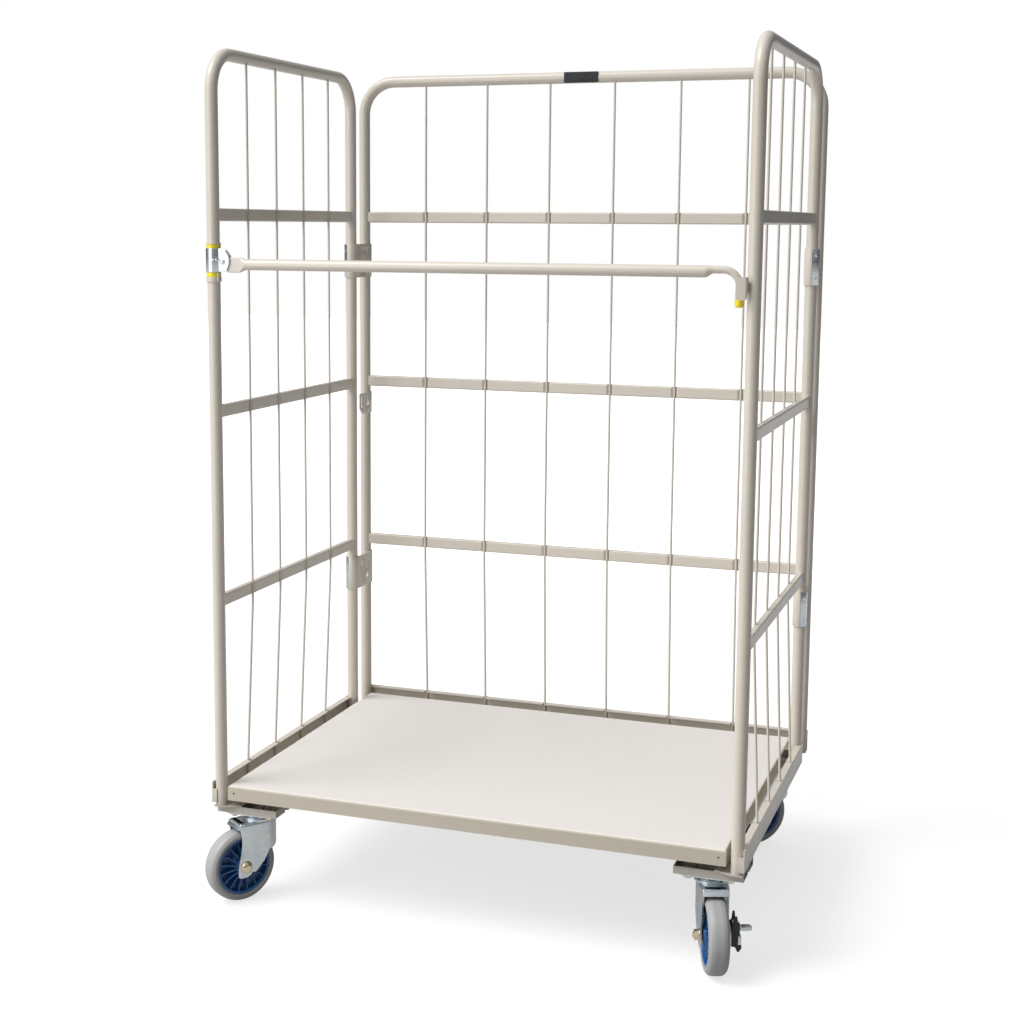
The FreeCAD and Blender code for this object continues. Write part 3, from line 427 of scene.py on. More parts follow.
def lathe(profile, segments=48, closed=True):
    bm = bmesh.new()
    verts = [bm.verts.new((radius, 0, along)) for radius, along in profile]
    pairs = list(zip(verts, verts[1:]))
    if closed:
        pairs.append((verts[-1], verts[0]))
    edges = [bm.edges.new(pair) for pair in pairs]
    bmesh.ops.spin(
        bm, geom=verts + edges, cent=(0, 0, 0), axis=(0, 0, 1), angle=2 * math.pi, steps=segments,
        use_merge=True,
    )
    bmesh.ops.remove_doubles(bm, verts=bm.verts, dist=1e-4)
    return bm


def skin(rings):
    bm = bmesh.new()
    rows = [[bm.verts.new(point) for point in ring] for ring in rings]
    for first, second in zip(rows, rows[1:]):
        for index in range(len(first)):
            after = (index + 1) % len(first)
            bm.faces.new((first[index], first[after], second[after], second[index]))
    bm.faces.new(rows[0])
    bm.faces.new(rows[-1])
    return bm


def hexNut(across, height, chamfer=0.8):
    bm = slab(circle(0, 0, across / math.sqrt(3), 6), 0, height)
    tops = [e for e in bm.edges if min(e.verts[0].co.z, e.verts[1].co.z) > height - 1e-6]
    bevelled(bm, tops, chamfer)
    return bm


def addPart(target, part, *matrices):
    matrix = Matrix.Identity(4)
    for step in matrices:
        matrix = matrix @ step
    bmesh.ops.transform(part, matrix=matrix, verts=part.verts)
    mesh = bpy.data.meshes.new("part")
    part.to_mesh(mesh)
    part.free()
    target.from_mesh(mesh)
    bpy.data.meshes.remove(mesh)


def makePiece(name, bm, body, slotName, nodes=(), sharp=40):
    bmesh.ops.recalc_face_normals(bm, faces=bm.faces)
    for face in bm.faces:
        face.smooth = True
    for edge in bm.edges:
        edge.smooth = edge.calc_face_angle(0.0) < math.radians(sharp)
    mesh = bpy.data.meshes.new(name)
    bm.to_mesh(mesh)
    bm.free()
    mesh.materials.append(finishes[slotName])
    piece = bpy.data.objects.new(name, mesh)
    bpy.context.scene.collection.objects.link(piece)
    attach(piece, body)
    if nodes:
        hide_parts(*nodes)


def shifted(x, y, z):
    return Matrix.Translation((x, y, z))


alongX = Matrix.Rotation(math.pi / 2, 4, "Y")      # turns a shape's Z to X
alongY = Matrix.Rotation(-math.pi / 2, 4, "X")     # turns a shape's Z to Y
facingY = Matrix.Rotation(math.pi / 2, 4, "X")     # an outline of x and z, thick towards -Y
turnedOver = Matrix.Rotation(math.pi, 4, "X")


# Casters, drawn round the swivel's axis with the wheel towards +X.

caster = {
    "plate": (104.0, 90.0, 8.0),
    "plateZ": (183.0, 187.0),
    "race": [(0, 183), (38, 183), (38.6, 181.8), (38, 180.4), (33, 177.2, 3), (30, 176.6), (0, 176.6)],
    "cup": [(0, 167.8), (35, 167.8), (35, 171.5, 2), (31, 176, 2), (0, 176)],
    "kingpin": [(0, 158), (9, 158, 3), (12, 160, 1.5), (12, 164.8), (0, 164.8)],
    "boltPitch": (80.0, 56.0),
    "nut": (16.0, 6.8),                       # across the flats and height
    "headHeight": 6.2,
    "nutTurn": (0.3, 0.47),
    "washer": (9.6, 1.2),                     # radius and thickness
    "shankR": 4.9,
    "shankLow": 174.2,
    "channelFloor": 189.3,
}
wheel = {
    "axleZ": 75.0,
    "trail": 45.0,
    "tyre": [
        (60.0, -18.6, 0.6), (61.4, -19.4, 0.8), (62.2, -20.0, 1.0), (67.0, -19.7, 3.0), (73.0, -15.2, 6.0),
        (75.0, -8.0, 10.0),
    ],
    "rim": [
        (59.9, -18.4, 0.8), (54.6, -18.4, 1.2), (53.4, -8.0, 3.0), (51.0, -4.2, 3.0), (25.0, -3.4, 4.0),
        (19.5, -8.0, 3.0), (18.0, -22.6, 1.2), (7.5, -22.6, 0.6),
    ],
    "ribs": 16,
    "rib": [(17.0, 2.0), (17.0, 20.4), (24.0, 18.6), (47.0, 13.4), (54.5, 15.4), (54.5, 2.0)],
    "ribHalf": 1.3,
    "ribRim": 0.5,
}
fork = {
    "legY": 29.0,
    "sheet": 3.0,
    "bend": 6.0,
    "wallTop": 162.0,
    "backX": -9.0,
    "backLow": 118.0,
    "front": [(58.0, 162), (55.0, 150), (52.5, 132), (54.0, 112), (60.0, 90), (63.0, 76), (63.5, 61)],
    "foot": [(63.5, 61), (62.5, 56.5), (59, 54), (50, 53.5), (40, 55), (34, 59), (31, 64), (27.5, 61.5),
             (21, 63.5), (13, 72), (3, 82), (-5, 95), (-9, 104)],
    "creaseX": 30.0,
    "creaseSlope": 0.16,
    "creaseRise": (85.0, 35.0),               # from this height, over this much
    "lip": [(44, 168), (55, 168, 5), (61.4, 156.4), (58.8, 155.0), (53, 165, 3), (44, 165)],
    "lipHalf": 25.0,
    "columns": 18,
    "rows": 16,
    "backSteps": 16,
    "bendSteps": 4,
}
axle = {
    "dome": [
        (0, 29), (13.6, 29), (13.6, 30.6, 0.5), (12.2, 31, 0.4), (11.6, 33.6, 2.2), (6, 36.2, 4), (0, 36.6),
    ],
    "tail": [(0, -40.6), (5, -40.6, 1.2), (6, -39.4), (6, -29), (0, -29)],
    "shank": [(0, -29), (5.9, -29), (5.9, 29), (0, 29)],
    "washer": [(0, -30.6), (11.6, -30.6, 0.4), (11.6, -29), (0, -29)],
    "nut": (18.0, 7.4),
    "nutFrom": -30.6,
    "spacer": [(6.2, 23.1), (11.4, 23.1, 0.8), (11.4, 25.9, 0.4), (6.2, 25.9)],
    "pinWire": 1.1,
    "pinLoop": [(0, -9.0), (0, 8.0), (1.6, 10.0), (0, 11.8), (-1.6, 10.0), (-1.4, -7.0), (-4.6, -10.6)],
    "pinSteps": 40,
    "pinAt": -39.2,
    "pinTurn": 0.9,
}
brake = {
    "depth": (29.0, 61.0),
    "cheek": [
        (29, 58, 3), (29, 96, 3), (34, 101, 3), (35.5, 115.5, 2), (39.6, 117.5, 2), (41, 103.5, 1),
        (44.6, 106, 1.5), (46, 98, 2), (45.4, 82, 1), (42.6, 80, 0.5), (42.6, 61, 0.5), (49.6, 60, 1),
        (49, 54, 2), (44.6, 47.4, 2), (41, 47.8, 2), (37, 57, 3),
    ],
    "cheekDepth": 4.0,
    "core": [(29, 60, 2), (29, 88, 2), (42, 88, 2), (42, 60, 2)],
    "inset": [(42.4, 61.6, 0.6), (42.4, 79, 0.6), (48.6, 79, 1.5), (48.6, 61.6, 1.5)],
    "insetGap": 1.0,
    "insetProud": 0.4,
    "pinZ": 96.0,
    "pinY": 40.0,
    "boss": [(3.1, -12.6, 0.4), (7, -12.6, 1)],
    "neck": [(38, 90, 1), (40, 102, 3), (46, 100, 4), (50, 92.4, 3), (50, 86, 2), (43, 86, 2)],
    "neckDepth": (37.5, 52.5),
    "tab": [(44, 37.0, 2), (49, 36.4, 2), (56, 35.0, 6), (70.6, 35.0, 8.5), (70.6, 55.0, 8.5),
            (56, 55.0, 6), (49, 53.6, 2), (44, 53.0, 2)],
    "tabZ": (86.0, 92.4),
}


def casterMatrix(name):
    pivot = Vector(joints["swivel_" + name]["pos_m"])
    hub = Vector(joints["wheel_" + name + "_spin"]["pos_m"])
    heading = math.atan2(hub.y - pivot.y, hub.x - pivot.x)
    return shifted(pivot.x, pivot.y, 0) @ Matrix.Rotation(heading, 4, "Z") @ inMetres


def onWheel(place):
    return place @ shifted(wheel["trail"], 0, wheel["axleZ"]) @ alongY


def makeTyre(name, place):
    bm = bmesh.new()
    addPart(bm, lathe(rounded(mirroredSection(wheel["tyre"]), 5), 96), onWheel(place))
    makePiece("tyreRubber_" + name, bm, "wheel_" + name, "grey_tyre", ["tyre_" + name], 50)


def makeHub(name, place):
    bm = bmesh.new()
    addPart(bm, lathe(rounded(mirroredSection(wheel["rim"]), 4), 96), onWheel(place))
    half = wheel["ribHalf"]
    for side in (1, -1):
        for k in range(wheel["ribs"]):
            outline = [(radius, side * rise) for radius, rise in wheel["rib"]]
            rib = slab(outline, -half, half, wheel["ribRim"], 1)
            turn = Matrix.Rotation(2 * math.pi * (k + 0.5) / wheel["ribs"], 4, "Z")
            addPart(bm, rib, onWheel(place), turn, facingY)
    makePiece("hubMoulding_" + name, bm, "wheel_" + name, "blue_hub", ["wheel_hub_" + name])


def patchPoint(top, front, rear, foot, u, v):
    corner = (
        (1 - u) * (1 - v) * top[0] + u * (1 - v) * top[-1] + (1 - u) * v * foot[0] + u * v * foot[-1]
    )
    across = (1 - v) * top[round(u * (len(top) - 1))] + v * foot[round(u * (len(foot) - 1))]
    down = (1 - u) * front[round(v * (len(front) - 1))] + u * rear[round(v * (len(rear) - 1))]
    return across + down - corner


# the wall runs from one leg's front edge round the back to the other leg's
def forkColumns():
    columns, rows, backSteps = fork["columns"], fork["rows"], fork["backSteps"]
    riseFrom, riseOver = fork["creaseRise"]
    top = smoothLine([(fork["front"][0][0], fork["wallTop"]), (fork["backX"], fork["wallTop"])], columns)
    front = smoothLine(fork["front"], rows)
    foot = smoothLine(fork["foot"], columns)
    rear = smoothLine([(fork["backX"], fork["wallTop"]), fork["foot"][-1]], rows)
    wall = []
    for column in range(columns + 1):
        line = []
        for row in range(rows + 1):
            point = patchPoint(top, front, rear, foot, column / columns, row / rows)
            inset = fork["creaseSlope"] * max(0.0, point.x - fork["creaseX"])
            inset *= easeOf((point.y - riseFrom) / riseOver)
            line.append(Vector((point.x, fork["legY"] - inset, point.y)))
        wall.append(line)
    bends = []
    heel = fork["foot"][-1][1]
    for step in range(1, backSteps):
        turn = math.pi * step / backSteps
        low = heel + (fork["backLow"] - heel) * math.sin(turn) ** 2
        x = fork["backX"] - fork["legY"] * math.sin(turn)
        y = fork["legY"] * math.cos(turn)
        drop = (low - fork["wallTop"]) / rows
        bends.append([Vector((x, y, fork["wallTop"] + drop * row)) for row in range(rows + 1)])
    mirrored = [[Vector((p.x, -p.y, p.z)) for p in line] for line in reversed(wall)]
    return wall + bends + mirrored


def makeFork(name, place):
    shell = bmesh.new()
    columns = forkColumns()
    rows = [[shell.verts.new(point) for point in line] for line in columns]
    for first, second in zip(rows, rows[1:]):
        for a, b, c, d in zip(first, first[1:], second[1:], second):
            shell.faces.new((a, b, c, d))
    inner = [line[0] for line in rows]
    for step in range(1, fork["bendSteps"] + 1):
        turn = math.pi / 2 * step / fork["bendSteps"]
        inset = fork["bend"] * (1 - math.cos(turn))
        rise = Vector((0, 0, fork["bend"] * math.sin(turn)))
        ring = []
        for line in columns:
            start = line[0]
            centre = Vector((max(start.x, fork["backX"]), 0, start.z))
            inward = (centre - start).normalized()
            ring.append(shell.verts.new(start + inward * inset + rise))
        for a, b, c, d in zip(inner, inner[1:], ring[1:], ring):
            shell.faces.new((a, d, c, b))
        inner = ring
    shell.faces.new(inner)
    bmesh.ops.recalc_face_normals(shell, faces=shell.faces)
    rearmost = min(shell.faces, key=lambda face: face.calc_center_median().x)
    if rearmost.normal.x > 0:
        bmesh.ops.reverse_faces(shell, faces=shell.faces)
    bmesh.ops.solidify(shell, geom=list(shell.faces), thickness=fork["sheet"])
    bmesh.ops.recalc_face_normals(shell, faces=shell.faces)
    bm = bmesh.new()
    addPart(bm, shell, place)
    addPart(bm, slab(rounded(fork["lip"], 5), -fork["lipHalf"], fork["lipHalf"], 1.0), place, facingY)
    addPart(bm, lathe(rounded(caster["cup"], 4), 64, False), place)
    makePiece("forkPressing_" + name, bm, "fork_" + name, "zinc", ["caster_fork_" + name], 32)


# the caster's top stands square to the cage, whatever its wheel's heading
def squareOn(name):
    pivot = Vector(joints["swivel_" + name]["pos_m"])
    return shifted(pivot.x, pivot.y, 0) @ inMetres


def makeCasterTop(name, body):
    square = squareOn(name)
    width, depth, corner = caster["plate"]
    outline = roundedBox(width / 2, depth / 2, corner)
    bm = bmesh.new()
    addPart(bm, slab(outline, *caster["plateZ"], 0.7), square)
    addPart(bm, lathe(rounded(caster["race"], 4), 64, False), square)
    addPart(bm, lathe(rounded(caster["kingpin"], 4), 32, False), square)
    makePiece("casterPlate_" + name, bm, body, "zinc", ["caster_top_" + name])


def boltPlaces(name):
    halfX, halfY = (pitch / 2 for pitch in caster["boltPitch"])
    return [squareOn(name) @ shifted(sx * halfX, sy * halfY, 0) for sx in (-1, 1) for sy in (-1, 1)]


def addCasterBolts(bm, name):
    across, height = caster["nut"]
    washerR, washerH = caster["washer"]
    low = caster["plateZ"][0]
    turnFrom, turnStep = caster["nutTurn"]
    washer = [(0, low - washerH), (washerR, low - washerH), (washerR, low), (0, low)]
    for index, place in enumerate(boltPlaces(name)):
        turn = Matrix.Rotation(turnFrom + turnStep * index, 4, "Z")
        addPart(bm, lathe(washer, 28, False), place)
        flip = shifted(0, 0, low - washerH) @ turnedOver
        addPart(bm, hexNut(across, height - washerH), place, turn, flip)
        shank = rounded([(0, caster["shankLow"]), (caster["shankR"], caster["shankLow"], 0.8),
                         (caster["shankR"], low), (0, low)], 3)
        addPart(bm, lathe(shank, 20, False), place)
        addPart(bm, hexNut(across, caster["headHeight"]), place, turn, shifted(0, 0, caster["channelFloor"]))


# the split pin's wire, bent to its loop
def splitPin():
    wire, steps = axle["pinWire"], axle["pinSteps"]
    line = smoothLine(axle["pinLoop"], steps)
    rings = []
    for index, point in enumerate(line):
        ahead = (line[min(index + 1, steps)] - line[max(index - 1, 0)]).normalized()
        side = Vector((-ahead.y, ahead.x, 0)) * wire
        middle = Vector((point.x, point.y, axle["pinAt"]))
        turns = [2 * math.pi * k / 8 for k in range(8)]
        rings.append([middle + side * math.cos(a) + Vector((0, 0, wire * math.sin(a))) for a in turns])
    return skin(rings)


def makeAxle(name, place):
    bm = bmesh.new()
    axis = onWheel(place)
    addPart(bm, lathe(rounded(axle["dome"], 5), 40, False), axis)
    addPart(bm, lathe(rounded(axle["tail"], 4), 28, False), axis)
    addPart(bm, lathe(rounded(axle["washer"], 3), 36, False), axis)
    addPart(bm, lathe(axle["shank"], 28, False), axis)
    addPart(bm, hexNut(*axle["nut"]), axis, shifted(0, 0, axle["nutFrom"]), turnedOver)
    addPart(bm, splitPin(), axis, Matrix.Rotation(axle["pinTurn"], 4, "Z"))
    makePiece("axleBolt_" + name, bm, "fork_" + name, "yellow_zinc", ["caster_axle_" + name])
    spacers = bmesh.new()
    for flip in (Matrix.Identity(4), turnedOver):
        addPart(spacers, lathe(rounded(axle["spacer"], 3), 36), axis, flip)
    makePiece("axleSpacers_" + name, spacers, "fork_" + name, "black_plastic")


# outlines of outward distance and height, thick along the caster's X
def acrossFork(outer):
    return Matrix(((0, 0, 1, 0), (outer, 0, 0, 0), (0, 1, 0, 0), (0, 0, 0, 1)))


def makeBrake(name, place, outer):
    near, far = brake["depth"]
    depth = brake["cheekDepth"]
    turn = acrossFork(outer)
    shell = bmesh.new()
    for low in (near, far - depth):
        addPart(shell, slab(rounded(brake["cheek"], 4), low, low + depth, 0.8), place, turn)
    addPart(shell, slab(rounded(brake["core"], 4), near + depth, far - depth), place, turn)
    makePiece("brakeShell_" + name, shell, "fork_" + name, "black_plastic", ["brake_housing_" + name])
    cam = bmesh.new()
    camNear, camFar = near + depth + brake["insetGap"], far + brake["insetProud"]
    addPart(cam, slab(rounded(brake["inset"], 4), camNear, camFar, 0.6), place, turn)
    makePiece("brakeCam_" + name, cam, "fork_" + name, "zinc")
    lever = bmesh.new()
    pin = place @ shifted(wheel["trail"], outer * brake["pinY"], brake["pinZ"]) @ alongX
    addPart(lever, lathe(rounded(mirroredSection(brake["boss"]), 4), 32), pin)
    addPart(lever, slab(rounded(brake["neck"], 5), *brake["neckDepth"], 0.8), place, turn)
    flat = Matrix(((0, 1, 0, 0), (outer, 0, 0, 0), (0, 0, 1, 0), (0, 0, 0, 1)))
    addPart(lever, slab(rounded(brake["tab"], 8), *brake["tabZ"], 2.6, 4), place, flat)
    makePiece("brakeLever_" + name, lever, "brake_" + name, "zinc", ["brake_pedal_" + name])


def makeCasters():
    for name in casterNames:
        place = casterMatrix(name)
        makeTyre(name, place)
        makeHub(name, place)
        makeFork(name, place)
        makeAxle(name, place)
        makeCasterTop(name, bodyOfBase(name))
        if name.startswith("front"):
            makeBrake(name, place, -1 if name.endswith("left") else 1)
    print("casters made:", len(casterNames))


def bodyOfBase(name):
    if name.startswith("rear"):
        return "back_panel"
    return "side_" + name.split("_")[1]


def makeBolts():
    for side in ("left", "right"):
        bm = bmesh.new()
        addCasterBolts(bm, "front_" + side)
        for stud in studPlaces(side):
            addPart(bm, lathe(rounded(stud["profile"], 4), 32, False), stud["place"])
        makePiece(side + "BaseBolts", bm, "side_" + side, "yellow_zinc", [side + "_base_fasteners"])
    bm = bmesh.new()
    for side in ("left", "right"):
        addCasterBolts(bm, "rear_" + side)
    makePiece("rearTrayBolts", bm, "back_panel", "yellow_zinc", ["rear_caster_bolts"])
    print("bolts made")


studs = {
    "insets": ((82.3, 189.3), (38.3, 205.0)),     # inward of the post, and the floor that each stands on
    "y": 23.0,
    "top": 218.7,
    "headR": 7.0,
    "headHeight": 6.5,
    "shankR": 4.0,
}


def studPlaces(side):
    inward = 1 if side == "left" else -1
    post = postPlaces[side]
    top, shankR, headR = studs["top"], studs["shankR"], studs["headR"]
    neck = top - studs["headHeight"]
    found = []
    for inset, floor in studs["insets"]:
        found.append({
            "place": shifted(post.x, post.y, 0) @ inMetres @ shifted(inward * inset, studs["y"], 0),
            "profile": [
                (0, floor), (shankR, floor), (shankR, neck), (headR, neck, 0.8), (headR, top, 1.6), (0, top),
            ],
        })
    return found


leftPost = Vector(joints["sleeve_swivel"]["pos_m"])
middleX = (joints["side_left_swing"]["pos_m"][0] + joints["side_right_swing"]["pos_m"][0]) / 2
postPlaces = {"left": leftPost, "right": Vector((2 * middleX - leftPost.x, leftPost.y, leftPost.z))}
makeCasters()
makeBolts()


# The front bar, its sleeve and its socket.

bar = {
    "r": 10.85,
    "axisZ": -5.0,                # the axis, from the pivot's height
    "flatHigh": 15.0,
    "flatThick": 3.0,
    "flatDrop": 1.2,
    "flatFrom": 30.0,             # from the left post's axis
    "flatTo": 54.0,
    "flatEdgeR": 6.0,
    "flatPower": 7.0,             # how square the flat's section is
    "roundFrom": 73.0,
    "roundSteps": 12,
    "pressedFrom": -90.0,         # from the right post's axis
    "pressedTo": -73.0,
    "pressedSteps": 10,
    "thinR": 6.9,
    "thinRise": 3.6,
    "bendR": 30.0,
    "bendSteps": 12,
    "tailX": -26.3,
    "tailLow": -50.0,
    "tongue": [(15.8, -11, 4), (34, -17, 2), (34, 7, 2), (22, 6.2, 7), (15.8, 4.8, 5)],
    "tongueHalf": 2.9,
    "cap": [(0, -63), (6.4, -63, 3), (8.3, -61, 2.4), (8.6, -48.4, 1.2), (7.0, -47.6), (0, -47.6)],
}


def ringAt(centre, tangent, halfWide, halfHigh, power, count=40):
    upward = Vector((-tangent.z, 0, tangent.x))
    ring = []
    for k in range(count):
        c, s = math.cos(2 * math.pi * k / count), math.sin(2 * math.pi * k / count)
        wide = math.copysign(abs(c) ** (2 / power), c) * halfWide
        high = math.copysign(abs(s) ** (2 / power), s) * halfHigh
        ring.append(centre + Vector((0, wide, 0)) + upward * high)
    return ring


def flatRings(ahead):
    axisZ, edgeR = bar["axisZ"] - bar["flatDrop"], bar["flatEdgeR"]
    rings = []
    x = bar["flatFrom"]
    while x < bar["flatTo"]:
        edge = min(x - bar["flatFrom"], edgeR)
        high = bar["flatHigh"] - edgeR + math.sqrt(max(edgeR ** 2 - (edgeR - edge) ** 2, 0.04))
        rings.append(ringAt(Vector((x, 0, axisZ)), ahead, bar["flatThick"], high, bar["flatPower"]))
        x += 1.0 if edge < edgeR else 3.0
    return rings


# from the flat's section to the tube's
def roundingRings(ahead):
    rings, steps = [], bar["roundSteps"]
    for step in range(steps + 1):
        share = easeOf(step / steps)
        x = bar["flatTo"] + (bar["roundFrom"] - bar["flatTo"]) * step / steps
        rings.append(ringAt(
            Vector((x, 0, bar["axisZ"] - bar["flatDrop"] * (1 - share))), ahead,
            bar["flatThick"] + (bar["r"] - bar["flatThick"]) * share,
            bar["flatHigh"] + (bar["r"] - bar["flatHigh"]) * share,
            bar["flatPower"] - (bar["flatPower"] - 2) * share ** 0.5,
        ))
    return rings


# the free end is pressed thin and bent down
def tailRings(ahead, span):
    axisZ, thinR = bar["axisZ"], bar["thinR"]
    rings, steps = [], bar["pressedSteps"]
    for step in range(steps + 1):
        share = easeOf(step / steps)
        x = span + bar["pressedFrom"] + (bar["pressedTo"] - bar["pressedFrom"]) * step / steps
        r = bar["r"] + (thinR - bar["r"]) * share
        rings.append(ringAt(Vector((x, 0, axisZ + bar["thinRise"] * share)), ahead, r, r, 2))
    tailX, bendR = span + bar["tailX"], bar["bendR"]
    for step in range(bar["bendSteps"] + 1):
        turn = math.pi / 2 * step / bar["bendSteps"]
        down = axisZ + bar["thinRise"] - bendR * (1 - math.cos(turn))
        centre = Vector((tailX - bendR + bendR * math.sin(turn), 0, down))
        rings.append(ringAt(centre, Vector((math.cos(turn), 0, -math.sin(turn))), thinR, thinR, 2))
    rings.append(ringAt(Vector((tailX, 0, axisZ + bar["tailLow"])), Vector((0, 0, -1)), thinR, thinR, 2))
    return rings


def makeBar():
    pivot = Vector(joints["bar_lift"]["pos_m"])
    origin = shifted(leftPost.x, pivot.y, pivot.z) @ inMetres
    span = (postPlaces["right"].x - leftPost.x) * 1000
    ahead = Vector((1, 0, 0))
    bm = bmesh.new()
    addPart(bm, skin(flatRings(ahead) + roundingRings(ahead) + tailRings(ahead, span)), origin)
    half = bar["tongueHalf"]
    addPart(bm, slab(rounded(bar["tongue"]), -half, half, 0.8), origin, facingY)
    makePiece("barTube", bm, "front_bar", "frame_paint", ["front_bar"], 50)
    bm = bmesh.new()
    cap = lathe(rounded(bar["cap"], 5), 48, False)
    addPart(bm, cap, origin, shifted(span + bar["tailX"], 0, bar["axisZ"]))
    makePiece("barTip", bm, "front_bar", "yellow_plastic", ["bar_end_cap"])


sleeve = {
    "boreR": 12.75,
    "r": 15.2,
    "low": -20.7,                 # from the pivot's height
    "high": 26.3,
    "ear": [
        (12.0, -19.5), (31.0, -19.5, 6), (37.4, -2.0, 10), (37.8, 8.0, 14), (25.6, 26.0, 13), (12.0, 26.0),
    ],
    "earY": (3.35, 6.3),
    "rivet": [(0, 0), (2.6, 0), (2.6, 0.6, 0.3), (1.2, 1.7, 1), (0, 1.8)],
    "rivetsAt": ((-1.15, 3.0), (-0.72, 4.2)),     # turn round the post and height
    "boltHead": [(0, 0), (6.4, 0), (6.4, 1.2, 0.5), (4.8, 1.4, 0.4), (4.4, 3.2, 1.6), (0, 4.6)],
    "boltR": 3.9,
    "nut": (12.6, 4.6, 0.6),
}


def makeSleeve():
    pivot = Vector(joints["bar_lift"]["pos_m"])
    origin = shifted(leftPost.x, leftPost.y, pivot.z) @ inMetres
    boreR, r, low, high = (sleeve[key] for key in ("boreR", "r", "low", "high"))
    bm = bmesh.new()
    tube = rounded([(boreR, low, 0.3), (r, low, 0.7), (r, high, 0.7), (boreR, high, 0.3)], 4)
    addPart(bm, lathe(tube, 72), origin)
    near, far = sleeve["earY"]
    for front, back in ((near, far), (-far, -near)):
        addPart(bm, slab(rounded(sleeve["ear"], 8), front, back, 0.6), origin, facingY)
    for angle, height in sleeve["rivetsAt"]:
        seat = Matrix.Rotation(angle, 4, "Z") @ shifted(r - 0.3, 0, height) @ alongX
        addPart(bm, lathe(rounded(sleeve["rivet"], 4), 20, False), origin, seat)
    makePiece("sleevePressing", bm, "bar_sleeve", "zinc", ["bar_sleeve"])
    bolt = bmesh.new()
    axis = shifted(pivot.x, pivot.y, pivot.z) @ inMetres @ facingY
    shankR = sleeve["boltR"]
    addPart(bolt, lathe(rounded(sleeve["boltHead"], 5), 36, False), axis, shifted(0, 0, far))
    addPart(bolt, lathe([(0, -far), (shankR, -far), (shankR, far), (0, far)], 24, False), axis)
    addPart(bolt, hexNut(*sleeve["nut"]), axis, turnedOver, shifted(0, 0, far))
    makePiece("pivotBolt", bolt, "bar_sleeve", "zinc", ["bar_pivot_bolt"])


postFittings = {
    "boreR": 12.72,
    "ringR": 14.4,
    "collarR": 15.0,
    "gap": 0.3,                   # between the sleeve and a ring
    "collarSoft": (3.0, 0.8),
    "tabX": (12.4, 17.0),
    "tabHalf": 1.6,
    "tabTurn": -0.5,
}


def makeRingsAndCollars():
    ringsLow, ringsHigh = (corner.z * 1000 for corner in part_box("bar_post_rings"))
    collarsLow, collarsHigh = (corner.z * 1000 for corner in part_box("bar_post_collars"))
    sleeveLow, sleeveHigh = (corner.z * 1000 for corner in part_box("bar_sleeve"))
    axis = shifted(leftPost.x, leftPost.y, 0) @ inMetres
    boreR, ringR, collarR, gap = (postFittings[key] for key in ("boreR", "ringR", "collarR", "gap"))
    rings = bmesh.new()
    for low, high in ((ringsLow, sleeveLow - gap), (sleeveHigh + gap, ringsHigh)):
        profile = rounded([(boreR, low, 0.2), (ringR, low, 0.7), (ringR, high, 0.7), (boreR, high, 0.2)], 4)
        addPart(rings, lathe(profile, 64), axis)
    makePiece("postRings", rings, "side_left", "yellow_plastic", ["bar_post_rings"])
    collars = bmesh.new()
    lowSoft, highSoft = postFittings["collarSoft"]
    for low, high, soft in ((collarsLow, ringsLow, lowSoft), (ringsHigh, collarsHigh, highSoft)):
        profile = [(boreR, low, 0.1), (collarR, low, soft), (collarR, high, 0.5), (boreR, high, 0.1)]
        addPart(collars, lathe(rounded(profile, 6), 64), axis)
    low, high = collarsLow, sleeveLow - 1
    (near, far), half = postFittings["tabX"], postFittings["tabHalf"]
    tab = rounded([(near, low + 1.5, 0.5), (far, low + 1.0, 1.4), (far, high, 1.0), (near, high, 0.5)], 4)
    tabTurned = Matrix.Rotation(postFittings["tabTurn"], 4, "Z")
    addPart(collars, slab(tab, -half, half, 0.5), axis, tabTurned, facingY)
    makePiece("postCollars", collars, "side_left", "frame_paint", ["bar_post_collars"])


socket = {
    "plate": (8.0, 29.3),         # inward of the post's axis
    "front": 24.0,
    "backTo": -10.0,
    "sheet": 2.0,
    "low": -54.0,                 # from the bar's pivot
    "high": -13.4,
    "bend": 5.0,
    "bendSteps": 6,
    "rows": 8,
    "fall": 10.0,                 # the upper edge falls towards the post
    "fallOver": 10.0,
    "rise": 14.0,                 # the lower edge rises round the bend
    "cornerR": 4.0,
}


# the plate bends back at its outer edge and its upper corner runs round to the post
def makeSocket():
    pivot = Vector(joints["bar_lift"]["pos_m"])
    post = postPlaces["right"]
    origin = shifted(post.x, post.y, pivot.z) @ inMetres
    near, far = socket["plate"]
    front, bend, steps, rows = -socket["front"], socket["bend"], socket["bendSteps"], socket["rows"]
    path = [(-far, front)]
    for step in range(steps + 1):
        turn = math.pi / 2 * step / steps
        path.append((-near - bend + bend * math.sin(turn), front + bend - bend * math.cos(turn)))
    path.append((-near, socket["backTo"]))
    bm = bmesh.new()
    columns = []
    for x, y in path:
        high = socket["high"] - socket["fall"] * easeOf((y - front - bend) / socket["fallOver"])
        low = socket["low"] + socket["rise"] * easeOf((y - front) / bend)
        columns.append([bm.verts.new((x, y, low + (high - low) * row / rows)) for row in range(rows + 1)])
    for first, second in zip(columns, columns[1:]):
        for a, b, c, d in zip(first, second, second[1:], first[1:]):
            bm.faces.new((a, b, c, d))
    bmesh.ops.recalc_face_normals(bm, faces=bm.faces)
    if min(bm.faces, key=lambda face: face.calc_center_median().y).normal.y > 0:
        bmesh.ops.reverse_faces(bm, faces=bm.faces)
    bmesh.ops.solidify(bm, geom=list(bm.faces), thickness=socket["sheet"])
    bevelled(bm, [edge for edge in bm.edges if isSocketCorner(edge, far)], socket["cornerR"], 5)
    piece = bmesh.new()
    addPart(piece, bm, origin)
    makePiece("socketPressing", piece, "side_right", "frame_paint", ["bar_socket"], 35)


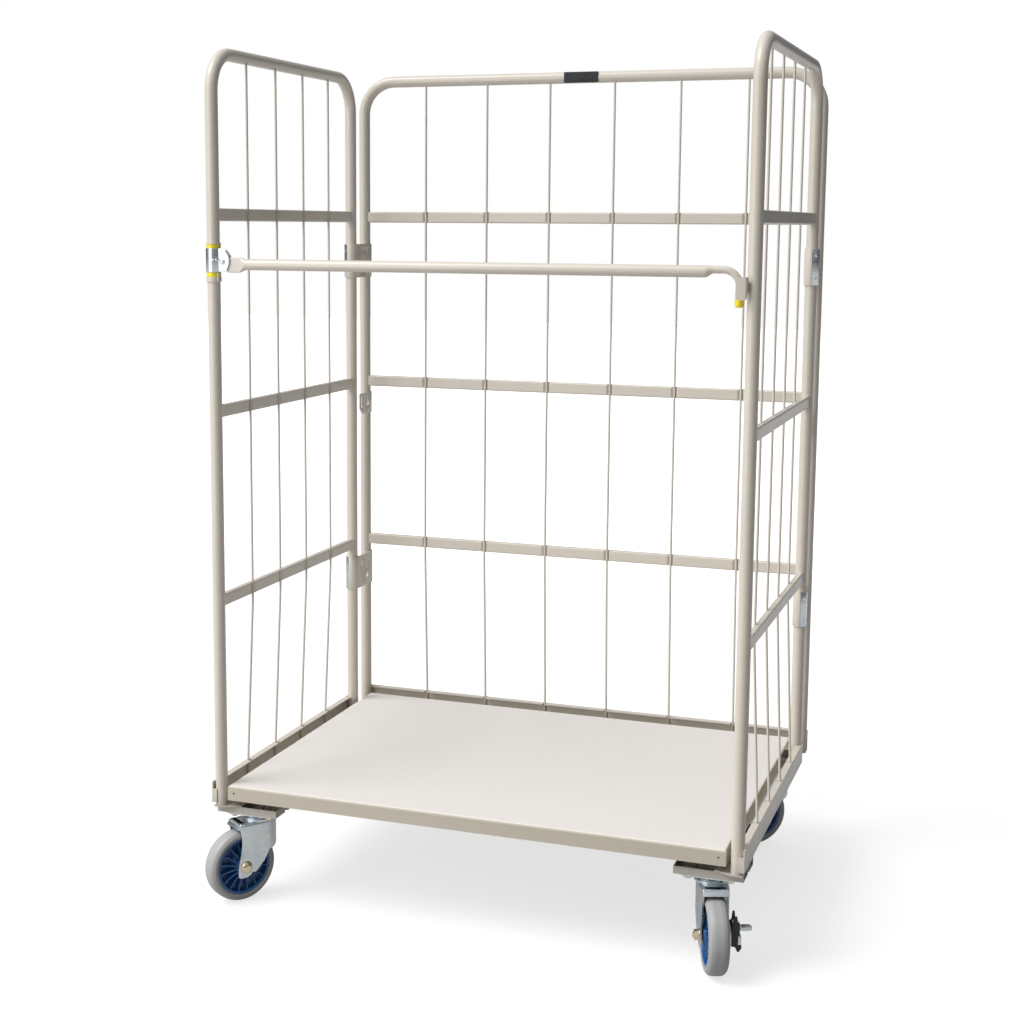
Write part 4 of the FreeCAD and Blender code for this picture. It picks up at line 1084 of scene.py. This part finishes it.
# an edge through the sheet at the plate's free end
def isSocketCorner(edge, far):
    first, second = (vert.co for vert in edge.verts)
    atEnd = abs(first.x + far) < 0.2 and abs(second.x + far) < 0.2
    through = abs(first.z - second.z) < 0.2 and abs(first.y - second.y) > 1
    return atEnd and through and (first.z > socket["high"] - 1 or first.z < socket["low"] + 1)


makeBar()
makeSleeve()
makeRingsAndCollars()
makeSocket()
print("bar made")


# Hinges, catch plates and label. Drawn from the turning post's axis, with X inward and Y to the back.

hinge = {
    "half": 39.0,
    "boreR": 13.0,
    "r": 15.6,
    "split": -3.0,
    "leafX": (12.75, 15.6),       # also the wrap's radii round the back post
    "leafFrom": 1.0,
    "backPost": 82.6,
    "wrapPast": -2.0,
    "slots": [(27.0, -9.0, 5.0, 21.0), (61.0, -30.0, 4.0, 9.0)],
    "holes": [(58.0, 25.0, 3.4), (28.0, 26.0, 3.0), (28.0, -27.0, 3.0), (50.0, -12.0, 8.2)],
    "collar": [(8.2, 0), (11.4, 0), (11.0, 0.9, 0.5), (9.6, 1.9, 0.7), (8.2, 1.9, 0.5)],
    "dimple": [(3.0, 0), (5.2, 0), (4.6, 0.8, 0.4), (3.0, 0.8, 0.3)],
    "ridges": [(19.5, 0.9, 30.0), (36.0, 0.9, 24.0)],
    "ridgeHalf": (1.6, 0.6),      # at the foot and at the crest
    "ridgeZ": -2.0,
    "strapGap": 0.03,             # a turn
    "strapShort": 0.4,
    "rivet": [(0, 0), (3.4, 0), (3.4, 0.6, 0.3), (1.6, 1.6, 1.0), (0, 1.7)],
    "rivetZ": (-24.0, 24.0),
    "rivetTurns": (2.35, -2.35),
}
catch = {
    "x": (12.75, 15.15),
    "outline": [(16.0, 25.0, 3), (16.0, -12.0, 2), (36.0, -24.6, 4), (82.0, -24.6), (82.0, 25.0)],
    "wrapTurns": (-0.5, 1.66),
    "wrapZ": (-24.6, 25.0),
    "drop": (60.0, 1.5, 7.6, 17.0),
    "slot": (26.0, 4.0, 9.0, 30.0),
    "hole": (42.0, -16.0, 2.6),
    "lip": [(7.6, 0), (9.6, 0), (9.2, 0.9, 0.5), (7.6, 0.9, 0.3)],
}
label = {
    "corner": 2.5,
    "rim": 0.7,
    "depth": (-5.4, -0.4),
    "panel": (66.0, 15.0),
    "line": 1.2,
    "lineDepth": (-0.8, 0.0),
    "rivet": [(0, -0.6), (1.9, -0.6), (1.9, 0.0, 0.3), (0.9, 0.6, 0.6), (0, 0.65)],
    "rivetInset": 3.6,
}


def turningPost(side, height):
    swing = Vector(joints["side_" + side + "_swing"]["pos_m"])
    inward = 1 if side == "left" else -1
    return Matrix.Translation((swing.x, swing.y, height)) @ Matrix.Diagonal((inward, 1, 1, 1)) @ inMetres


def arcStrip(inner, outer, fromTurn, toTurn, count=28):
    turns = [fromTurn + (toTurn - fromTurn) * k / count for k in range(count + 1)]
    return ([(outer * math.cos(turn), outer * math.sin(turn)) for turn in turns]
            + [(inner * math.cos(turn), inner * math.sin(turn)) for turn in reversed(turns)])


def longHole(y, z, width, length, count=10):
    radius = width / 2
    reach = length / 2 - radius
    top = [(y + radius * math.cos(math.pi * k / count), z + reach + radius * math.sin(math.pi * k / count))
           for k in range(count + 1)]
    return top + [(2 * y - point[0], 2 * z - point[1]) for point in top]


# outlines of Y and Z, thick along X
upright = Matrix(((0, 0, 1, 0), (1, 0, 0, 0), (0, 1, 0, 0), (0, 0, 0, 1)))


def addLeaf(leaves, place):
    half, (near, far), edge = hinge["half"], hinge["leafX"], hinge["backPost"]
    splitTurn = math.acos(hinge["split"] / hinge["r"])
    wrapTurn = math.acos(hinge["wrapPast"] / far)
    sleeveArc = arcStrip(hinge["boreR"], hinge["r"], -splitTurn, splitTurn)
    addPart(leaves, slab(sleeveArc, -half, half, 0.5), place)
    wrapArc = arcStrip(near, far, -wrapTurn, wrapTurn)
    addPart(leaves, slab(wrapArc, -half, half, 0.5), place, shifted(0, edge, 0))
    start = hinge["leafFrom"]
    outline = [(start, -half), (edge, -half), (edge, half), (start, half)]
    holes = [circle(*hole, 28) for hole in hinge["holes"]] + [longHole(*slot) for slot in hinge["slots"]]
    addPart(leaves, piercedSlab(outline, holes, near, far), place, upright)
    for y, z, radius in hinge["holes"]:
        profile = hinge["collar"] if radius > 5 else hinge["dimple"]
        addPart(leaves, lathe(rounded(profile, 4), 32), place, shifted(far - 0.2, y, z), alongX)
    shadeBelowDeck, crest = hinge["ridgeHalf"]
    for y, rise, length in hinge["ridges"]:
        section = rounded([(-shadeBelowDeck, 0), (shadeBelowDeck, 0), (crest, rise, 0.5), (-crest, rise, 0.5)], 4)
        seat = shifted(far - 0.1, y, hinge["ridgeZ"]) @ Matrix.Rotation(-math.pi / 2, 4, "Z")
        addPart(leaves, slab(section, -length / 2, length / 2, 0.3), place, seat)


def addStrap(straps, place):
    edgeTurn = math.acos(hinge["split"] / hinge["r"]) + hinge["strapGap"]
    half = hinge["half"] - hinge["strapShort"]
    arc = arcStrip(hinge["boreR"], hinge["r"], edgeTurn, 2 * math.pi - edgeTurn)
    addPart(straps, slab(arc, -half, half, 0.6), place)
    for z in hinge["rivetZ"]:
        for turn in hinge["rivetTurns"]:
            seat = Matrix.Rotation(turn, 4, "Z") @ shifted(hinge["r"] - 0.3, 0, z) @ alongX
            addPart(straps, lathe(rounded(hinge["rivet"], 4), 20, False), place, seat)


def makeHinges():
    low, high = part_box("hinge_leaves")
    half = hinge["half"] * 0.001
    leaves, straps = bmesh.new(), bmesh.new()
    for side in ("left", "right"):
        for height in (low.z + half, high.z - half):
            place = turningPost(side, height)
            addLeaf(leaves, place)
            addStrap(straps, place)
    makePiece("hingePressings", leaves, "back_panel", "frame_paint", ["hinge_leaves"], 35)
    makePiece("hingeStraps", straps, "back_panel", "zinc", ["hinge_straps"], 35)


def dropHole(y, z, radius, rise, count=24):
    lean = math.asin(radius / rise)
    turns = [lean + (math.pi - 2 * lean) * k / count for k in range(count + 1)]
    below = [(y + radius * math.cos(turn), z - radius * math.sin(turn)) for turn in turns]
    shoulder, shoulderZ = radius * math.cos(lean), z + radius * math.sin(lean)
    return below + [(y - shoulder, shoulderZ), (y, z + rise), (y + shoulder, shoulderZ)]


def makeCatchPlates():
    low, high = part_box("catch_plates")
    middle = (low.z + high.z) / 2
    near, far = catch["x"]
    y, z = catch["drop"][:2]
    bm = bmesh.new()
    for side in ("left", "right"):
        place = turningPost(side, middle)
        holes = [dropHole(*catch["drop"]), longHole(*catch["slot"]), circle(*catch["hole"])]
        addPart(bm, piercedSlab(rounded(catch["outline"], 5), holes, near, far, 0.5), place, upright)
        wrap = slab(arcStrip(near, far, *catch["wrapTurns"], 18), *catch["wrapZ"], 0.5)
        addPart(bm, wrap, place, shifted(0, hinge["backPost"], 0))
        addPart(bm, lathe(rounded(catch["lip"], 4), 32), place, shifted(far - 0.2, y, z), alongX)
    makePiece("catchPressings", bm, "back_panel", "frame_paint", ["catch_plates"], 35)


# a blank plate with a raised line and two rivets
def makeLabelPlate():
    low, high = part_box("back_label_plate")
    middle, half = (low + high) / 2, (high - low) * 500
    place = shifted(middle.x, low.y, middle.z) @ inMetres
    bm = bmesh.new()
    plate = slab(roundedBox(half.x, half.z, label["corner"], 5), *label["depth"], label["rim"])
    addPart(bm, plate, place, facingY)
    wide, tall, line = label["panel"][0] / 2, label["panel"][1] / 2, label["line"]
    outer, inner = roundedBox(wide, tall, 2, 4), roundedBox(wide - line, tall - line, 1, 4)
    addPart(bm, piercedSlab(outer, [inner], *label["lineDepth"], 0.2), place, facingY)
    for x in (label["rivetInset"] - half.x, half.x - label["rivetInset"]):
        head = lathe(rounded(label["rivet"], 3), 16, False)
        addPart(bm, head, place, facingY, shifted(x, 0, label["depth"][1]))
    makePiece("labelBlank", bm, "back_panel", "dark_label", ["back_label_plate"], 35)


makeHinges()
makeCatchPlates()
makeLabelPlate()
print("hinges, catches and label made")


# Camera, floor and light.

cameraLook = {
    "place": (1.07438, -3.33110, 1.39465),
    "turn": 0.3429,
    "down": 0.14037,
    "roll": 0.0060,
    "lens": 58.93,
    "sensor": 36.0,
    "clip": (0.05, 80.0),
    "shift": (0.0379, -0.0484),
}
floorLook = {
    "size": 40.0,
    "lit": (0.34, 0.34, 0.34, 1),
    "glow": (1.0, 1.0, 1.0, 1),
    "glowNear": 0.70,
    "glowFar": 1.0,
    "fadeFrom": 1.3,
    "fadeTo": 4.0,
    "mirrored": 0.5,
    "roughness": 0.9,
}
worldLook = {
    "seen": (1.0, 1.0, 1.0, 1),
    "lit": 0.72,
    "dim": 0.10,
    "bright": (-0.74, 0.12, 0.66),
    "fade": (-0.35, 0.80),
    "mirroredSide": (0.045, 0.060, 0.085, 1),
    "mirroredTop": (0.95, 0.97, 1.0, 1),
    "mirroredFade": (0.12, 0.80),
}
lampLook = {
    "sun": {"aim": (0.50, 0.36, -0.79), "strength": 2.1, "angle": 0.5},
    "softbox": {
        "place": (-1.7, -2.8, 1.75), "aimAt": (-0.1, 0.0, 0.95), "size": (1.9, 3.0), "power": 43.0,
    },
}


def makeCamera():
    camera = bpy.data.cameras.new("camera")
    camera.lens = cameraLook["lens"]
    camera.sensor_width = cameraLook["sensor"]
    camera.shift_x, camera.shift_y = cameraLook["shift"]
    camera.clip_start, camera.clip_end = cameraLook["clip"]
    holder = bpy.data.objects.new("camera", camera)
    bpy.context.scene.collection.objects.link(holder)
    holder.matrix_world = (
        Matrix.Translation(cameraLook["place"])
        @ Matrix.Rotation(cameraLook["turn"], 4, "Z")
        @ Matrix.Rotation(math.pi / 2 - cameraLook["down"], 4, "X")
        @ Matrix.Rotation(cameraLook["roll"], 4, "Z")
    )
    bpy.context.scene.camera = holder


def makeFloor():
    bm = bmesh.new()
    bmesh.ops.create_grid(bm, x_segments=1, y_segments=1, size=floorLook["size"] / 2)
    mesh = bpy.data.meshes.new("floor")
    bm.to_mesh(mesh)
    bm.free()
    floor = bpy.data.objects.new("floor", mesh)
    bpy.context.scene.collection.objects.link(floor)
    material = bpy.data.materials.new("floorWhite")
    material.use_nodes = True
    tree = material.node_tree
    shader = tree.nodes["Principled BSDF"]
    shader.inputs["Base Color"].default_value = floorLook["lit"]
    shader.inputs["Roughness"].default_value = floorLook["roughness"]
    shader.inputs["Specular IOR Level"].default_value = 0.0
    shader.inputs["Emission Color"].default_value = floorLook["glow"]
    path = addNode(tree, "ShaderNodeLightPath")
    mirrored = calculate(tree, "MULTIPLY", path.outputs["Is Glossy Ray"], floorLook["mirrored"])
    seen = calculate(tree, "MAXIMUM", path.outputs["Is Camera Ray"], mirrored)
    reach = addNode(tree, "ShaderNodeVectorMath", operation="LENGTH")
    tree.links.new(objectPlace(tree), reach.inputs[0])
    glow = rangeOf(
        tree, reach.outputs["Value"], floorLook["fadeFrom"], floorLook["fadeTo"],
        floorLook["glowNear"], floorLook["glowFar"],
    )
    tree.links.new(calculate(tree, "MULTIPLY", seen, glow), shader.inputs["Emission Strength"])
    mesh.materials.append(material)


# the room is bright on the left, above and behind, and dim on the right and in front
def makeWorld():
    world = bpy.data.worlds.new("studio")
    world.use_nodes = True
    bpy.context.scene.world = world
    tree = world.node_tree
    tree.nodes.clear()
    facing = addNode(tree, "ShaderNodeVectorMath", operation="DOT_PRODUCT")
    direction = addNode(tree, "ShaderNodeTexCoord").outputs["Generated"]
    tree.links.new(direction, facing.inputs[0])
    facing.inputs[1].default_value = Vector(worldLook["bright"]).normalized()
    fadeLow, fadeHigh = worldLook["fade"]
    room = rangeOf(tree, facing.outputs["Value"], fadeLow, fadeHigh, worldLook["dim"], 1.0)
    shade = calculate(tree, "MULTIPLY", room, worldLook["lit"])
    lit = addNode(tree, "ShaderNodeCombineColor")
    for channel in ("Red", "Green", "Blue"):
        tree.links.new(shade, lit.inputs[channel])
    parts = addNode(tree, "ShaderNodeSeparateXYZ")
    tree.links.new(direction, parts.inputs["Vector"])
    sideLow, sideHigh = worldLook["mirroredFade"]
    rise = rangeOf(tree, parts.outputs["Z"], sideLow, sideHigh, 0.0, 1.0)
    mirrored = mixColours(tree, rise, worldLook["mirroredSide"], worldLook["mirroredTop"])
    path = addNode(tree, "ShaderNodeLightPath")
    unseen = mixColours(tree, path.outputs["Is Glossy Ray"], lit.outputs["Color"], mirrored)
    light = addNode(tree, "ShaderNodeBackground")
    colour = mixColours(tree, path.outputs["Is Camera Ray"], unseen, worldLook["seen"])
    tree.links.new(colour, light.inputs["Color"])
    tree.links.new(light.outputs["Background"], addNode(tree, "ShaderNodeOutputWorld").inputs["Surface"])


def makeLamps():
    look = lampLook["sun"]
    sun = bpy.data.lights.new("sun", "SUN")
    sun.energy = look["strength"]
    sun.angle = look["angle"]
    holder = bpy.data.objects.new("sun", sun)
    holder.rotation_euler = Vector(look["aim"]).to_track_quat("-Z", "Y").to_euler()
    bpy.context.scene.collection.objects.link(holder)
    look = lampLook["softbox"]
    softbox = bpy.data.lights.new("softbox", "AREA")
    softbox.shape = "RECTANGLE"
    softbox.size, softbox.size_y = look["size"]
    softbox.energy = look["power"]
    holder = bpy.data.objects.new("softbox", softbox)
    aim = Vector(look["aimAt"]) - Vector(look["place"])
    turned = aim.to_track_quat("-Z", "Y").to_matrix().to_4x4()
    holder.matrix_world = Matrix.Translation(look["place"]) @ turned
    bpy.context.scene.collection.objects.link(holder)


makeCamera()
makeFloor()
makeWorld()
makeLamps()
bpy.context.scene.view_settings.view_transform = "Standard"
print("studio ready")
